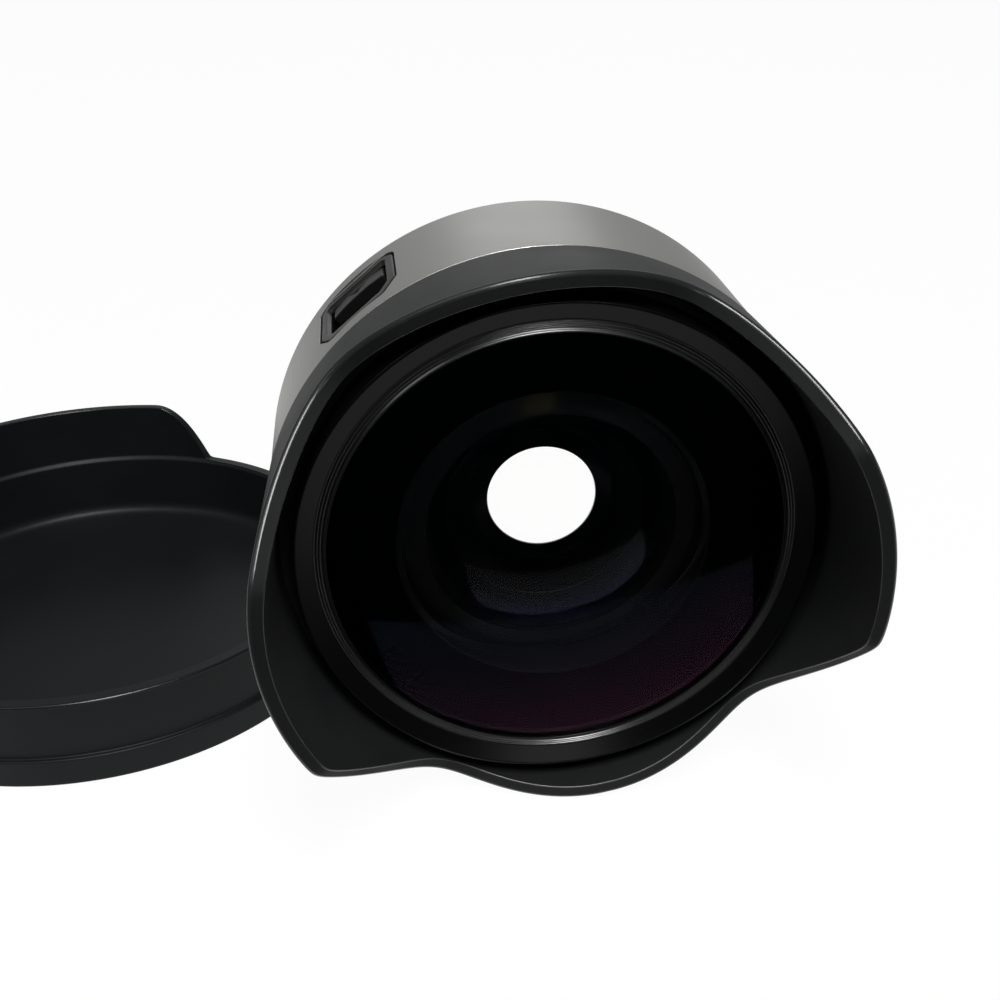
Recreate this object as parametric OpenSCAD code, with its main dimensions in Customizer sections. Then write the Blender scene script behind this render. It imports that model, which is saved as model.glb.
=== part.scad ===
// Fisheye converter lens with a petal hood, a rear bayonet with a sprung release slide, and a push-on cap.
// Lengths are in millimetres. The lens is drawn upright, +Z forward along the optical axis and +Y up, and is
// then laid on its side: the optical axis becomes -Y and the origin is the centre of the rear mount face.

/* [Placement] */
// Turn of the lens about its optical axis as it lies, top leaning left as seen from the front
lying_roll = 10.5; // [-45:0.5:45]
// Cap centre from the optical axis, to the right seen from the front
cap_x = -57.7; // [-90:0.1:-56]
// Cap centre behind the mount face
cap_y = 11.7; // [4:0.1:60]

/* [Barrel shell] */
// Outer radius of the silver barrel
barrel_r = 30.25; // [29:0.05:36]
// Wall of the barrel
barrel_wall = 1.9; // [1.3:0.1:2.1]
// Length of the barrel from its rear edge to the hood
barrel_len = 17.9; // [16.6:0.1:26]
// Bright chamfer round both ends of the barrel
barrel_chamfer = 0.4; // [0.1:0.05:0.7]
// Length of the inward lip at the rear of the barrel
rear_lip = 1.4; // [0.8:0.1:2]

/* [Rear bayonet] */
// How far the mount face stands behind the barrel
rear_stand = 4; // [3.4:0.1:8]
// How much smaller the bayonet ring is than the barrel, on the radius
rear_step = 2.95; // [2.4:0.05:4]
// Wall of the bayonet ring
rim_wall = 2.3; // [1.5:0.1:3]
// Thickness of the bayonet ring's floor
floor_t = 1.3; // [1:0.1:2]
// How far the rear plate laps past the inner tube
shield_lap = 1; // [0.5:0.1:2]
// Number of bayonet lugs
lug_count = 3; // [2:1:4]
// How far a lug stands in from the socket wall
lug_depth = 1; // [0.6:0.1:1.5]
// Thickness of a lug along the axis
lug_t = 1.2; // [0.8:0.1:1.4]
// Length of the plain wall at the socket's mouth
socket_len = 2.4; // [1.6:0.1:2.6]
// How much wider the socket is past that wall, on the radius
undercut = 0.6; // [0.3:0.1:1]
// Gap between that wall and a lug
lug_gap = 0.3; // [0.1:0.05:0.4]
// Angle that a lug covers
lug_arc = 36; // [20:1:50]
// Turn of the first lug from the release window
lug_turn = 60; // [40:1:80]
// Number of mount screws
screw_count = 4; // [2:2:4]
// Turn of the first mount screw from the release window
screw_turn = 45; // [40:1:50]

/* [Housing] */
// Wall of the outer skirt
skirt_wall = 1.5; // [1:0.1:2]
// Thickness of the front web
web_t = 2; // [1.5:0.1:3]
// How far the web reaches past the barrel, into the hood
web_stand = 1.3; // [0.8:0.1:2]
// Wall of the inner tube that holds the small glass
tube_wall = 1.55; // [1:0.05:2.5]
// Wall of the collar round the front glass
collar_wall = 1.45; // [1:0.05:1.8]
// Radius of the screw bosses
boss_r = 2.3; // [1.6:0.1:3]

/* [Hood] */
// How far the hood stands proud of the barrel at the seam
hood_step = 0.2; // [0:0.05:0.6]
// How far the hood's edge is broken at the seam, on the radius
seam_drop = 0.25; // [0.1:0.05:0.4]
// Length of that broken edge
seam_bevel = 0.45; // [0.2:0.05:0.8]
// Flare of the hood's outside
hood_flare = 2.4; // [0:0.1:8]
// Wall of the hood
hood_wall = 1.65; // [1.2:0.05:2]
// Thickness of the hood's inner floor
hood_floor_t = 2.4; // [1.5:0.1:3]
// Length of a long petal from the seam
long_len = 20.5; // [16:0.1:30]
// Half of the angle that a long petal's flat end covers
long_half = 21.2; // [10:0.2:30]
// Slope of a long petal's sides, from square to the axis
flank_angle = 43.7; // [40:0.1:60]
// Length of a short petal from the seam
short_len = 10.1; // [8:0.1:14]
// Radius of a short petal's crown
short_crown_r = 28.7; // [20:0.1:60]
// Width of the blend that rounds a long petal's corners
corner_blend = 0.9; // [0.1:0.1:3]
// Width of the blend that rounds the valleys
valley_blend = 6.9; // [2:0.1:10]

/* [Bezel ring] */
// Gap between the hood's wall and the bezel ring
bezel_gap = 1.3; // [0.6:0.05:2]
// Wall of the bezel ring's skirt
bezel_wall = 1.35; // [0.8:0.05:1.6]
// How far the bezel ring laps over the front glass
bezel_lap = 0.55; // [0.3:0.05:0.9]
// Thickness of the lip over the glass
bezel_lip_t = 0.4; // [0.3:0.05:0.8]
// How far the grooved band falls from the glass to the foot of the cone
bezel_fall = 0.36; // [0.1:0.02:0.4]
// Height of the bezel ring's outer edge over the foot of the cone
bezel_rise = 1.1; // [0.4:0.05:1.5]
// Number of fine grooves round the glass
groove_count = 3; // [1:1:4]
// Distance from groove to groove
groove_pitch = 0.31; // [0.28:0.01:0.45]
// Plain lip between the glass and the first groove
groove_inset = 0.48; // [0.4:0.02:0.6]
// Width of a groove
groove_w = 0.14; // [0.1:0.02:0.2]
// Depth of a groove
groove_d = 0.14; // [0.1:0.02:0.2]
// Radius of the front seal's section
seal_r = 0.3; // [0.2:0.05:0.4]

/* [Glass] */
// Front radius of the front glass
front_r1 = 130; // [80:1:200]
// Thickness of the front glass at its middle
front_t = 3.35; // [2.8:0.05:4.6]
// Rear radius of the front glass
front_r2 = 36; // [30:0.5:44]
// Radius of the hollow in the rear of the front glass
front_hollow = 16.5; // [15.5:0.1:17]
// Thickness of the shim that seats the front glass
spacer_t = 0.75; // [0.6:0.05:2]
// How far the shim reaches inside that hollow
spacer_lap = 0.5; // [0:0.1:1]
// Edge radius of the second glass
second_r = 15; // [14.6:0.1:16]
// Front radius of the second glass, hollow
second_r1 = 60; // [45:1:120]
// Thickness of the second glass at its middle
second_t = 2; // [1.5:0.1:2.6]
// Rear radius of the second glass, hollow
second_r2 = 22; // [20:0.5:30]
// Wall of the sleeve round the cemented pair
cell_wall = 1.95; // [1.6:0.05:3]
// Front radius of the third glass
third_r1 = 40; // [36:0.5:60]
// Thickness of the third glass at its middle
third_t = 6; // [5.4:0.1:6.6]
// Radius of the cemented faces
cement_r = 48; // [42:0.5:80]
// Thickness of the fourth glass at its middle
fourth_t = 1.8; // [1.2:0.1:2.2]
// Rear radius of the fourth glass
fourth_r2 = 80; // [60:1:200]
// Width of the flat rim on the small glass
glass_rim = 1; // [0.6:0.1:1.4]
// Width of the flat rim behind the second glass
second_rim = 1.8; // [1.2:0.1:2.4]
// Overlap of the retaining ring on the rear pair
retainer_lap = 0.25; // [0.1:0.05:0.5]
// Length of the rear retaining ring
retainer_t = 1.3; // [0.8:0.1:2]
// Length of the sleeve round the cemented pair
cell_len = 3.1; // [2:0.1:4]
// Gap between the air space ring and the rear pair
spacer_gap = 0.2; // [0.1:0.05:0.5]
// Radius of the clear rear aperture
rear_aperture_r = 9.3; // [6:0.1:11]

/* [Release slide] */
// Turn of the release window from the hood's upper petal, towards the left seen from the front
window_angle = 29.6; // [20:0.2:60]
// Width of the window round the barrel
window_w = 10.4; // [9.6:0.1:12]
// Length of the window along the barrel
window_len = 11.7; // [11.2:0.1:12]
// Window's rear edge ahead of the barrel's rear edge
window_inset = 3.15; // [3:0.05:4]
// Width of the window's front corner cuts
front_cut_w = 1.75; // [0.5:0.05:2]
// Length of the window's front corner cuts
front_cut_len = 3; // [1:0.1:4]
// Size of the window's rear corner cuts
rear_cut = 0.9; // [0.3:0.1:1.2]
// Border of the window frame at its sides and rear
frame_border = 1.25; // [1:0.05:1.5]
// Border of the window frame at its front
frame_front = 2.4; // [2.2:0.1:2.8]
// Depth of the pocket in the frame
pocket_depth = 2.4; // [2:0.05:2.5]
// Length of the knob
knob_len = 3.3; // [2.6:0.1:3.6]
// How far the knob's top lies below the barrel's surface
knob_sink = 0.5; // [0.2:0.05:0.9]
// Length of the slope at the front of the knob
knob_slope = 1.05; // [0.4:0.05:1.6]
// Travel of the slide
travel = 2; // [1:0.1:2.4]
// Width of the triangle mark on the knob
mark_w = 2.4; // [1.5:0.1:3]
// Length of the triangle mark
mark_len = 1.1; // [0.6:0.1:1.5]
// Depth of the triangle mark
mark_d = 0.2; // [0.1:0.05:0.3]
// Radius of the lock pin
pin_r = 0.9; // [0.6:0.05:1.2]
// Pin axis in from the socket wall
pin_inset = 2.5; // [2.2:0.1:3]
// How far the pin stands out of the socket floor
pin_stand = 1.2; // [0.6:0.1:1.6]
// Radius of the spring at the middle of its wire
spring_r = 1.3; // [1.1:0.05:1.5]
// Radius of the spring's wire
spring_wire_r = 0.17; // [0.1:0.01:0.2]
// Number of curls in the spring
spring_curls = 7; // [4:1:8]
// Thickness of the guide plate
plate_t = 1; // [0.6:0.1:1.2]

/* [Cap] */
// Wall of the cap
cap_wall = 1.8; // [1.2:0.1:2.6]
// Thickness of the cap's base
cap_base_t = 1.6; // [1:0.1:3]
// How far the cap's base band stands out
cap_band_step = 0.6; // [0.2:0.05:1.2]
// Height of the cap's base band
cap_band_h = 3.7; // [2.5:0.1:6]
// Height of the cap's low rim
cap_low_h = 11; // [8:0.1:14]
// Height of the cap's tall tab
cap_tall_h = 19.2; // [15:0.1:24]
// Turn of the middle of the tall tab, from the right
tab_angle = 115; // [90:1:150]
// Half of the angle that the tab's top covers
tab_half = 35.5; // [20:0.5:50]
// Angle over which the tab falls to the low rim
tab_fall = 13.5; // [6:0.5:20]
// How full the curve of that fall is
tab_round = 2.1; // [1.5:0.1:3]
// Width of the blend at the foot of that fall
tab_foot = 0.5; // [0.2:0.1:1]
// Height of the ledge on the inside of the tab
cap_ledge_h = 10.6; // [10:0.1:13]
// How far the tab's inside is set back over the ledge
cap_ledge = 0.5; // [0.2:0.05:0.8]
// Radius of the fillet between the cap's wall and base
cap_fillet = 1.5; // [0.5:0.1:3]

/* [Fits] */
// Gap between fixed pieces that slip together
slip = 0.05; // [0.02:0.01:0.1]
// Gap round pieces that move
run_gap = 0.35; // [0.3:0.05:0.45]
// Running clearance of the lock pin
pin_gap = 0.05; // [0.02:0.01:0.1]
// Gap between the hood and the cap, on the radius
cap_gap = 0.5; // [0.2:0.05:1]
// Thread radius of the mount screws
screw_r = 0.8; // [0.5:0.05:1]
// Head radius of the mount screws
screw_head_r = 1.4; // [1.2:0.05:1.8]
// Head height of the mount screws
screw_head_h = 0.9; // [0.5:0.05:1.2]
// Thread length of the mount screws past the floor
screw_len = 5; // [3:0.5:7]
// Free depth past the tip of a mount screw
screw_tip_gap = 1; // [0.5:0.1:2]
// Thread radius of the guide screws
small_screw_r = 0.45; // [0.3:0.05:0.6]
// Head radius of the guide screws
small_head_r = 0.9; // [0.7:0.05:1.1]
// Head height of the guide screws
small_head_h = 0.6; // [0.4:0.05:0.8]

/* [Hidden] */
$fn = 96;
// Overlap of cutters past the faces that they cut
over = 1;
// Steps round a petal rim
rim_steps = 120;

// Radii, worked inwards from the barrel
barrel_in_r = barrel_r - barrel_wall;
housing_r = barrel_in_r - 2 * slip;
skirt_in_r = housing_r - skirt_wall;
rim_r = barrel_r - rear_step;
socket_r = rim_r - rim_wall;
undercut_r = socket_r + undercut;
hood_r = barrel_r + hood_step;
hood_slope = tan(hood_flare);
hood_in_r = hood_r - hood_wall;
bezel_r = hood_in_r - bezel_gap;
collar_r = bezel_r - bezel_wall - slip;
collar_in_r = collar_r - collar_wall;
front_edge_r = collar_in_r - slip;
glass_r = front_edge_r - bezel_lap;
pair_r = second_r - cell_wall - slip;
tube_in_r = second_r + slip;
tube_r = tube_in_r + tube_wall;
boss_ring_r = (tube_r + skirt_in_r) / 2;
shield_r = tube_r + shield_lap;

// Stations along the axis, from the mount face forward
rear_s = rear_stand;
floor_s = rear_s + rear_lip + slip;
floor_front_s = floor_s + floor_t;
seam_s = rear_s + barrel_len;
web_front_s = seam_s + web_stand;
web_rear_s = web_front_s - web_t;
hood_floor_s = web_front_s + hood_floor_t;

// Depth of a dome of radius r at distance a from its axis
function sag(r, a) = r - sqrt(r * r - a * a);

// Glass, the front two seated on the web and the pair on the rear ring
front_rear_s = web_front_s + spacer_t;
front_hollow_s = front_rear_s + sag(front_r2, front_hollow);
front_apex_s = front_hollow_s + front_t;
glass_s = front_apex_s - sag(front_r1, glass_r);
front_edge_s = front_apex_s - sag(front_r1, front_edge_r);
second_seat_s = web_front_s - web_t / 2;
second_apex_s = second_seat_s - sag(second_r1, second_r - glass_rim);
second_hollow_s = second_apex_s - second_t;
second_rear_s = second_hollow_s - sag(second_r2, second_r - second_rim);
retainer_s = floor_front_s + 2 * slip;
retainer_front_s = retainer_s + retainer_t;
retainer_in_r = pair_r - retainer_lap;
fourth_apex_s = retainer_front_s + slip - sag(fourth_r2, retainer_in_r);
cement_s = fourth_apex_s + fourth_t;
cement_gap = 0.02;
third_apex_s = cement_s + third_t;
cell_s = retainer_front_s + slip;
cell_front_s = cell_s + cell_len;

// Bezel ring
lip_s = glass_s + slip;
lip_top_s = lip_s + bezel_lip_t;
cone_s = lip_top_s - bezel_fall;
collar_s = lip_s - bezel_fall - slip - 2 * seal_r;
groove_r = glass_r + groove_inset;
cone_r = groove_r + (groove_count - 1) * groove_pitch + groove_w;
function band_s(r) = lip_top_s - bezel_fall * (r - glass_r) / (cone_r - glass_r);

// Release slide, drawn with the window at +Y: X round the barrel, Y outwards, Z forward
window_s = rear_s + window_inset;
window_front_s = window_s + window_len;
frame_top_r = barrel_r - slip;
pocket_floor_r = barrel_r - pocket_depth;
frame_floor_t = 0.9;
frame_in_r = pocket_floor_r - frame_floor_t;
frame_lap = 0.9;
pocket_s = window_s + frame_border;
pocket_front_s = window_front_s - frame_front;
knob_s = pocket_s + run_gap;
knob_w = window_w - 2 * frame_border - 2 * run_gap;
knob_y = pocket_floor_r + run_gap;
knob_top_r = barrel_r - knob_sink;
stem_w = 2.2;
stem_len = 2;
stem_inset = 0.6;
stem_s = knob_s + stem_inset;
carriage_w = 4.8;
carriage_t = 0.85;
carriage_len = 4.8;
carriage_back = 0.1;
carriage_top_y = sqrt(pow(frame_in_r, 2) - pow(carriage_w / 2, 2)) - run_gap;
carriage_y = carriage_top_y - carriage_t;
carriage_s = knob_s - carriage_back;
leg_len = 2;
leg_margin = 0.2;
leg_w = 2 * (spring_r + spring_wire_r + leg_margin);
leg_front_s = carriage_s + carriage_len;
pin_y = socket_r - pin_inset;
leg_y = pin_y - leg_w / 2;
pin_tip_s = floor_s - pin_stand;
plate_y = carriage_y - run_gap - plate_t;
plate_margin = 0.2;
plate_w = 2 * sqrt(pow(skirt_in_r, 2) - pow(plate_y + plate_t, 2)) - 2 * plate_margin;
plate_s = pocket_s;
plate_front_gap = 1;
plate_len = web_rear_s - plate_front_gap - plate_s;
guide_x = 2.6;
guide_s = pocket_front_s + frame_front / 2;
guide_boss_r = 1.2;
guide_depth = 1.4;
rod_gap = 0.3;
rod_r = spring_r - spring_wire_r - rod_gap;
rod_depth = web_t / 2;
rod_stop = 1;
rod_s = leg_front_s + travel + rod_stop;

// Dowel between the web and the hood's floor
dowel_r = 0.5;
dowel_ring_r = (collar_r + housing_r) / 2;
dowel_depth = 1;

// Hood rim, as distance along the axis at angle a, long petals at 0 and 180 degrees
arc_mm = hood_r * PI / 180;
long_s = seam_s + long_len;
short_s = seam_s + short_len;
function smooth_max(a, b, w) = (a + b + sqrt(pow(a - b, 2) + w * w)) / 2;
function smooth_min(a, b, w) = (a + b - sqrt(pow(a - b, 2) + w * w)) / 2;
function fold(a) = let (m = a % 180) m > 90 ? 180 - m : m;
function flank(t) = long_s - tan(flank_angle) * arc_mm * (t - long_half);
function crown(t) = short_s - pow(arc_mm * (90 - t), 2) / (2 * short_crown_r);
function hood_rim(a) =
    let (t = fold(a))
    smooth_max(smooth_min(long_s, flank(t), corner_blend), crown(t), valley_blend);

// Cap, which slips over the hood and lies on the surface that the lens lies on
cap_in_r = hood_r + long_len * hood_slope + cap_gap;
cap_r = cap_in_r + cap_wall;
cap_band_r = cap_r + cap_band_step;
// Height of the surface that they lie on, under the lowest point of the hood's rim
table_z = -(hood_r + (hood_rim(270 - lying_roll) - seam_s) * hood_slope);
function turn_from(a, b) = abs((a - b + 540) % 360 - 180);
function cap_rim(a) =
    let (u = max(0, (turn_from(a, tab_angle) - tab_half) / tab_fall))
    smooth_max(cap_tall_h - (cap_tall_h - cap_low_h) * pow(u, tab_round), cap_low_h, tab_foot);

// Spring, one helix of wire between the leg and the web
spring_start = leg_front_s + spring_wire_r + slip;
spring_end = web_rear_s - spring_wire_r - slip;
spring_rings = spring_curls * 8;
spring_path = [for (i = [0 : spring_rings])
    let (t = i / spring_rings, a = 360 * spring_curls * t)
    [spring_r * cos(a), spring_r * sin(a), spring_start + (spring_end - spring_start) * t]];
spring_least_gap = min([for (i = [0 : spring_rings], j = [i + 5 : 1 : spring_rings])
    norm(spring_path[i] - spring_path[j])]) - 2 * spring_wire_r;
echo(spring_least_gap = spring_least_gap);

// Lays the upright lens on its side, rolled about its axis
module lay() {
    rotate([90, 0, 0]) rotate([0, 0, lying_roll]) children();
}

// Turns a shape drawn at +Y to the release window
module at_window() {
    lay() rotate([0, 0, window_angle]) children();
}

// A round solid from a half section of [radius, station] points
module turned(points) {
    rotate_extrude() polygon(points);
}

// A tube between two stations
module tube(r_out, r_in, s0, s1) {
    turned([[r_in, s0], [r_out, s0], [r_out, s1], [r_in, s1]]);
}

// A rod between two stations
module rod(r, s0, s1) {
    translate([0, 0, s0]) cylinder(r = r, h = s1 - s0);
}

// A dome of glass: the sphere whose front or rear point is at the station
module front_dome(r, s) {
    translate([0, 0, s - r]) sphere(r = r);
}
module rear_dome(r, s) {
    translate([0, 0, s + r]) sphere(r = r);
}

// A plan in [X, Z] carried outwards from y0 to y1
module outwards(y0, y1) {
    translate([0, y1, 0]) rotate([90, 0, 0]) linear_extrude(y1 - y0) children();
}

// A box centred across X, from [y0, s0] to [y1, s1]
module block(w, y0, y1, s0, s1) {
    translate([-w / 2, y0, s0]) cube([w, y1 - y0, s1 - s0]);
}

// Removes what stands over a wavy rim, whose height at angle a is rim(a)
module over_rim(rim, r_in, r_out, top) {
    n = rim_steps;
    angles = [for (i = [0 : n - 1]) 360 * i / n];
    corners = [for (a = angles)
        each [for (p = [[r_in, rim(a)], [r_out, rim(a)], [r_out, top], [r_in, top]])
            [p[0] * cos(a), p[0] * sin(a), p[1]]]];
    faces = [for (i = [0 : n - 1], k = [0 : 3])
        let (a = 4 * i, b = 4 * ((i + 1) % n), m = (k + 1) % 4)
        each [[a + k, b + m, b + k], [a + k, a + m, b + m]]];
    polyhedron(corners, faces);
}

// Silver shell, with its rear lip and the release window
module barrel_shell() {
    color("silver") difference() {
        lay() turned([[rim_r + slip, rear_s], [barrel_r - barrel_chamfer, rear_s],
                      [barrel_r, rear_s + barrel_chamfer], [barrel_r, seam_s - barrel_chamfer],
                      [barrel_r - barrel_chamfer, seam_s], [barrel_in_r, seam_s],
                      [barrel_in_r, floor_s - slip], [rim_r + slip, floor_s - slip]]);
        at_window() outwards(frame_in_r, barrel_r + over) window_plan(slip);
    }
}

// Plan of the release window, grown by a gap all round
module window_plan(grow) {
    w = window_w / 2 + grow;
    s0 = window_s - grow;
    s1 = window_front_s + grow;
    polygon([[-w + rear_cut, s0], [w - rear_cut, s0], [w, s0 + rear_cut], [w, s1 - front_cut_len],
             [w - front_cut_w, s1], [-w + front_cut_w, s1], [-w, s1 - front_cut_len], [-w, s0 + rear_cut]]);
}

// Petal hood, with the floor that the bezel ring clamps
module petal_hood() {
    top = long_s + over;
    color("#1c1c1e") lay() difference() {
        turned([[barrel_in_r, seam_s], [hood_r - seam_drop, seam_s],
                [hood_r + seam_bevel * hood_slope, seam_s + seam_bevel],
                [hood_r + (top - seam_s) * hood_slope, top],
                [hood_in_r + (top - seam_s) * hood_slope, top],
                [hood_in_r + (hood_floor_s - seam_s) * hood_slope, hood_floor_s],
                [collar_r + slip, hood_floor_s], [collar_r + slip, web_front_s], [barrel_in_r, web_front_s]]);
        over_rim(function(a) hood_rim(a), bezel_r, cap_in_r + over, top + over);
        translate([0, dowel_ring_r, 0]) rod(dowel_r + slip, web_front_s - over, web_front_s + dowel_depth);
    }
}

// Bezel ring, which screws over the collar and holds the front glass and the hood
module bezel_ring() {
    skirt_in = collar_r + slip;
    color("#17171a") lay() difference() {
        turned([[skirt_in, hood_floor_s], [bezel_r, hood_floor_s], [bezel_r, cone_s + bezel_rise],
                [cone_r, cone_s], [glass_r, lip_top_s], [glass_r, lip_s], [front_edge_r, front_edge_s + slip],
                [cone_r, lip_s - bezel_fall], [skirt_in, lip_s - bezel_fall]]);
        for (i = [0 : groove_count - 1]) let (r = groove_r + i * groove_pitch)
            tube(r + groove_w / 2, r - groove_w / 2, band_s(r) - groove_d, lip_top_s + over);
    }
}

// Front glass, domed in front and hollow behind
module front_element() {
    color([0.1, 0.12, 0.2, 0.6]) lay() difference() {
        intersection() {
            rod(front_edge_r, front_rear_s, front_apex_s + over);
            front_dome(front_r1, front_apex_s);
        }
        front_dome(front_r2, front_hollow_s);
    }
}

// Round seal on the collar, under the bezel ring's lip
module front_seal() {
    color("#0c0c0c") lay() rotate_extrude()
        translate([collar_in_r + collar_wall / 2, collar_s + seal_r]) circle(r = seal_r, $fn = 32);
}

// Shim between the web and the front glass
module front_spacer() {
    color("#141414") lay() tube(front_edge_r, front_hollow - spacer_lap, web_front_s, front_rear_s);
}

// Inner casting: collar, web, skirt, inner tube and screw bosses
module lens_housing() {
    color("#202022") difference() {
        lay() union() {
            turned([[second_r - glass_rim, second_seat_s], [second_r - glass_rim, web_front_s],
                    [collar_in_r, web_front_s], [collar_in_r, collar_s], [collar_r, collar_s],
                    [collar_r, web_front_s], [housing_r, web_front_s], [housing_r, floor_front_s],
                    [skirt_in_r, floor_front_s], [skirt_in_r, web_rear_s], [tube_r, web_rear_s],
                    [tube_r, floor_front_s], [tube_in_r, floor_front_s], [tube_in_r, second_seat_s]]);
            at_screws() rod(boss_r, floor_front_s, web_rear_s + web_t / 2);
        }
        lay() at_screws()
            rod(screw_r + slip, floor_front_s - over, floor_front_s + screw_len + screw_tip_gap);
        lay() translate([0, dowel_ring_r, 0])
            rod(dowel_r + slip, web_front_s - dowel_depth, web_front_s + over);
        at_window() outwards(plate_y + plate_t, barrel_r) window_plan(frame_lap + slip);
        at_window() translate([0, pin_y, 0]) rod(rod_r + slip, web_rear_s - over, web_rear_s + rod_depth);
    }
}

// Places of the mount screws, clear of the release slide
module at_screws() {
    for (i = [0 : screw_count - 1]) rotate([0, 0, window_angle + screw_turn + 360 * i / screw_count])
        translate([0, boss_ring_r, 0]) children();
}

// Second glass, hollow on both faces
module second_element() {
    color([0.5, 0.55, 0.65, 0.5]) lay() difference() {
        rod(second_r, second_rear_s, second_seat_s);
        rear_dome(second_r1, second_apex_s);
        front_dome(second_r2, second_hollow_s);
    }
}

// Ring that sets the air space behind the second glass
module element_spacer() {
    color("#141414") lay() tube(second_r, pair_r + spacer_gap, cell_front_s, second_rear_s);
}

// Front half of the cemented pair
module third_element() {
    color([0.5, 0.6, 0.6, 0.5]) lay() intersection() {
        rod(pair_r, cement_s, third_apex_s);
        front_dome(third_r1, third_apex_s);
        rear_dome(cement_r, cement_s + cement_gap);
    }
}

// Rear half of the cemented pair
module fourth_element() {
    color([0.55, 0.6, 0.55, 0.5]) lay() difference() {
        intersection() {
            rod(pair_r, fourth_apex_s, cement_s + sag(cement_r, pair_r));
            rear_dome(fourth_r2, fourth_apex_s);
        }
        rear_dome(cement_r, cement_s);
    }
}

// Sleeve that centres the cemented pair in the inner tube
module rear_cell() {
    color("#26262a") lay() tube(second_r, pair_r + slip, cell_s, cell_front_s);
}

// Retaining ring behind the pair, with two spanner slots
module rear_retaining_ring() {
    slot_w = 1.2;
    slot_d = retainer_t / 2;
    color("#2c2c30") lay() difference() {
        tube(second_r, retainer_in_r, retainer_s, retainer_front_s);
        block(slot_w, -second_r - over, second_r + over, retainer_s - over, retainer_s + slot_d);
    }
}

// Rear plate with the clear aperture, let into the bayonet ring's floor
module rear_shield() {
    bevel = floor_t / 2;
    color("#101012") lay() turned([[rear_aperture_r, floor_s + bevel], [rear_aperture_r + bevel, floor_s],
                                   [shield_r, floor_s], [shield_r, floor_front_s],
                                   [rear_aperture_r, floor_front_s]]);
}

// Rear bayonet ring: rim, floor and lugs
module mount_ring() {
    color("#19191b") difference() {
        lay() union() {
            turned([[socket_r, 0], [rim_r, 0], [rim_r, floor_s], [housing_r, floor_s],
                    [housing_r, floor_front_s], [shield_r + slip, floor_front_s], [shield_r + slip, floor_s],
                    [undercut_r, floor_s], [undercut_r, socket_len], [socket_r, socket_len]]);
            for (i = [0 : lug_count - 1]) rotate([0, 0, window_angle + lug_turn + 360 * i / lug_count])
                translate([0, 0, socket_len + lug_gap]) rotate_extrude(angle = lug_arc)
                    translate([socket_r - lug_depth, 0])
                        square([lug_depth + (undercut + rim_wall) / 2, lug_t]);
        }
        lay() at_screws() rod(screw_r + slip, floor_s - over, floor_front_s + over);
        at_window() translate([0, pin_y, 0]) rod(pin_r + pin_gap, floor_s - over, floor_front_s + over);
    }
}

// Four screws through the bayonet ring's floor into the housing
module mount_screws() {
    slot_w = 0.4;
    slot_d = screw_head_h / 2;
    color("silver") lay() at_screws() difference() {
        union() {
            rod(screw_head_r, floor_s - screw_head_h, floor_s);
            rod(screw_r, floor_s - screw_head_h / 2, floor_front_s + screw_len);
        }
        for (turn = [0, 90]) rotate([0, 0, turn])
            block(slot_w, -screw_r, screw_r, floor_s - screw_head_h - over, floor_s - screw_head_h + slot_d);
    }
}

// Pin that sets the hood's turn against the housing
module hood_dowel() {
    color("silver") lay() translate([0, dowel_ring_r, 0])
        rod(dowel_r, web_front_s - dowel_depth, web_front_s + dowel_depth);
}

// Window frame with its pocket, flange and screw bosses
module release_bezel() {
    color("#232325") at_window() difference() {
        union() {
            intersection() {
                outwards(plate_y, barrel_r + over) window_plan(0);
                tube(frame_top_r, frame_in_r, window_s - over, window_front_s + over);
            }
            intersection() {
                outwards(plate_y, barrel_r) window_plan(frame_lap);
                tube(housing_r, frame_in_r, floor_front_s + slip, window_front_s + frame_lap);
            }
            at_guide_screws() outward_rod(guide_boss_r, plate_y + plate_t, pocket_floor_r);
        }
        outwards(pocket_floor_r, barrel_r + over) pocket_plan();
        block(stem_w + 2 * run_gap, plate_y, barrel_r,
              stem_s - run_gap, stem_s + stem_len + travel + run_gap);
        at_guide_screws() outward_rod(small_screw_r + slip, plate_y, pocket_floor_r + guide_depth / 2);
    }
}

// Plan of the pocket in the window frame
module pocket_plan() {
    w = window_w / 2 - frame_border;
    cut_w = front_cut_w / 2;
    cut_len = front_cut_len / 2;
    polygon([[-w, pocket_s], [w, pocket_s], [w, pocket_front_s - cut_len], [w - cut_w, pocket_front_s],
             [-w + cut_w, pocket_front_s], [-w, pocket_front_s - cut_len]]);
}

// A rod along +Y between two heights
module outward_rod(r, y0, y1) {
    translate([0, y0, 0]) rotate([-90, 0, 0]) cylinder(r = r, h = y1 - y0);
}

// Places of the guide screws, under the front border of the frame
module at_guide_screws() {
    for (x = [-guide_x, guide_x]) translate([x, 0, guide_s]) children();
}

// Knob with a sloping front, a triangle mark and the stem through the frame's floor
module release_slider() {
    front_s = knob_s + knob_len;
    color("#1b1b1d") at_window() difference() {
        union() {
            intersection() {
                translate([knob_w / 2, 0, 0]) rotate([0, -90, 0]) linear_extrude(knob_w)
                    polygon([[knob_s, knob_y], [front_s, knob_y], [front_s, knob_y + knob_sink],
                             [front_s - knob_slope, barrel_r], [knob_s, barrel_r]]);
                rod(knob_top_r, knob_s - over, front_s + over);
            }
            block(stem_w, carriage_top_y, knob_y + knob_sink, stem_s, stem_s + stem_len);
        }
        outwards(knob_top_r - mark_d, barrel_r) mark_plan();
    }
}

// Plan of the triangle mark, pointing forward
module mark_plan() {
    s = knob_s + (knob_len - knob_slope - mark_len) / 2;
    polygon([[-mark_w / 2, s], [mark_w / 2, s], [0, s + mark_len]]);
}

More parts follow.
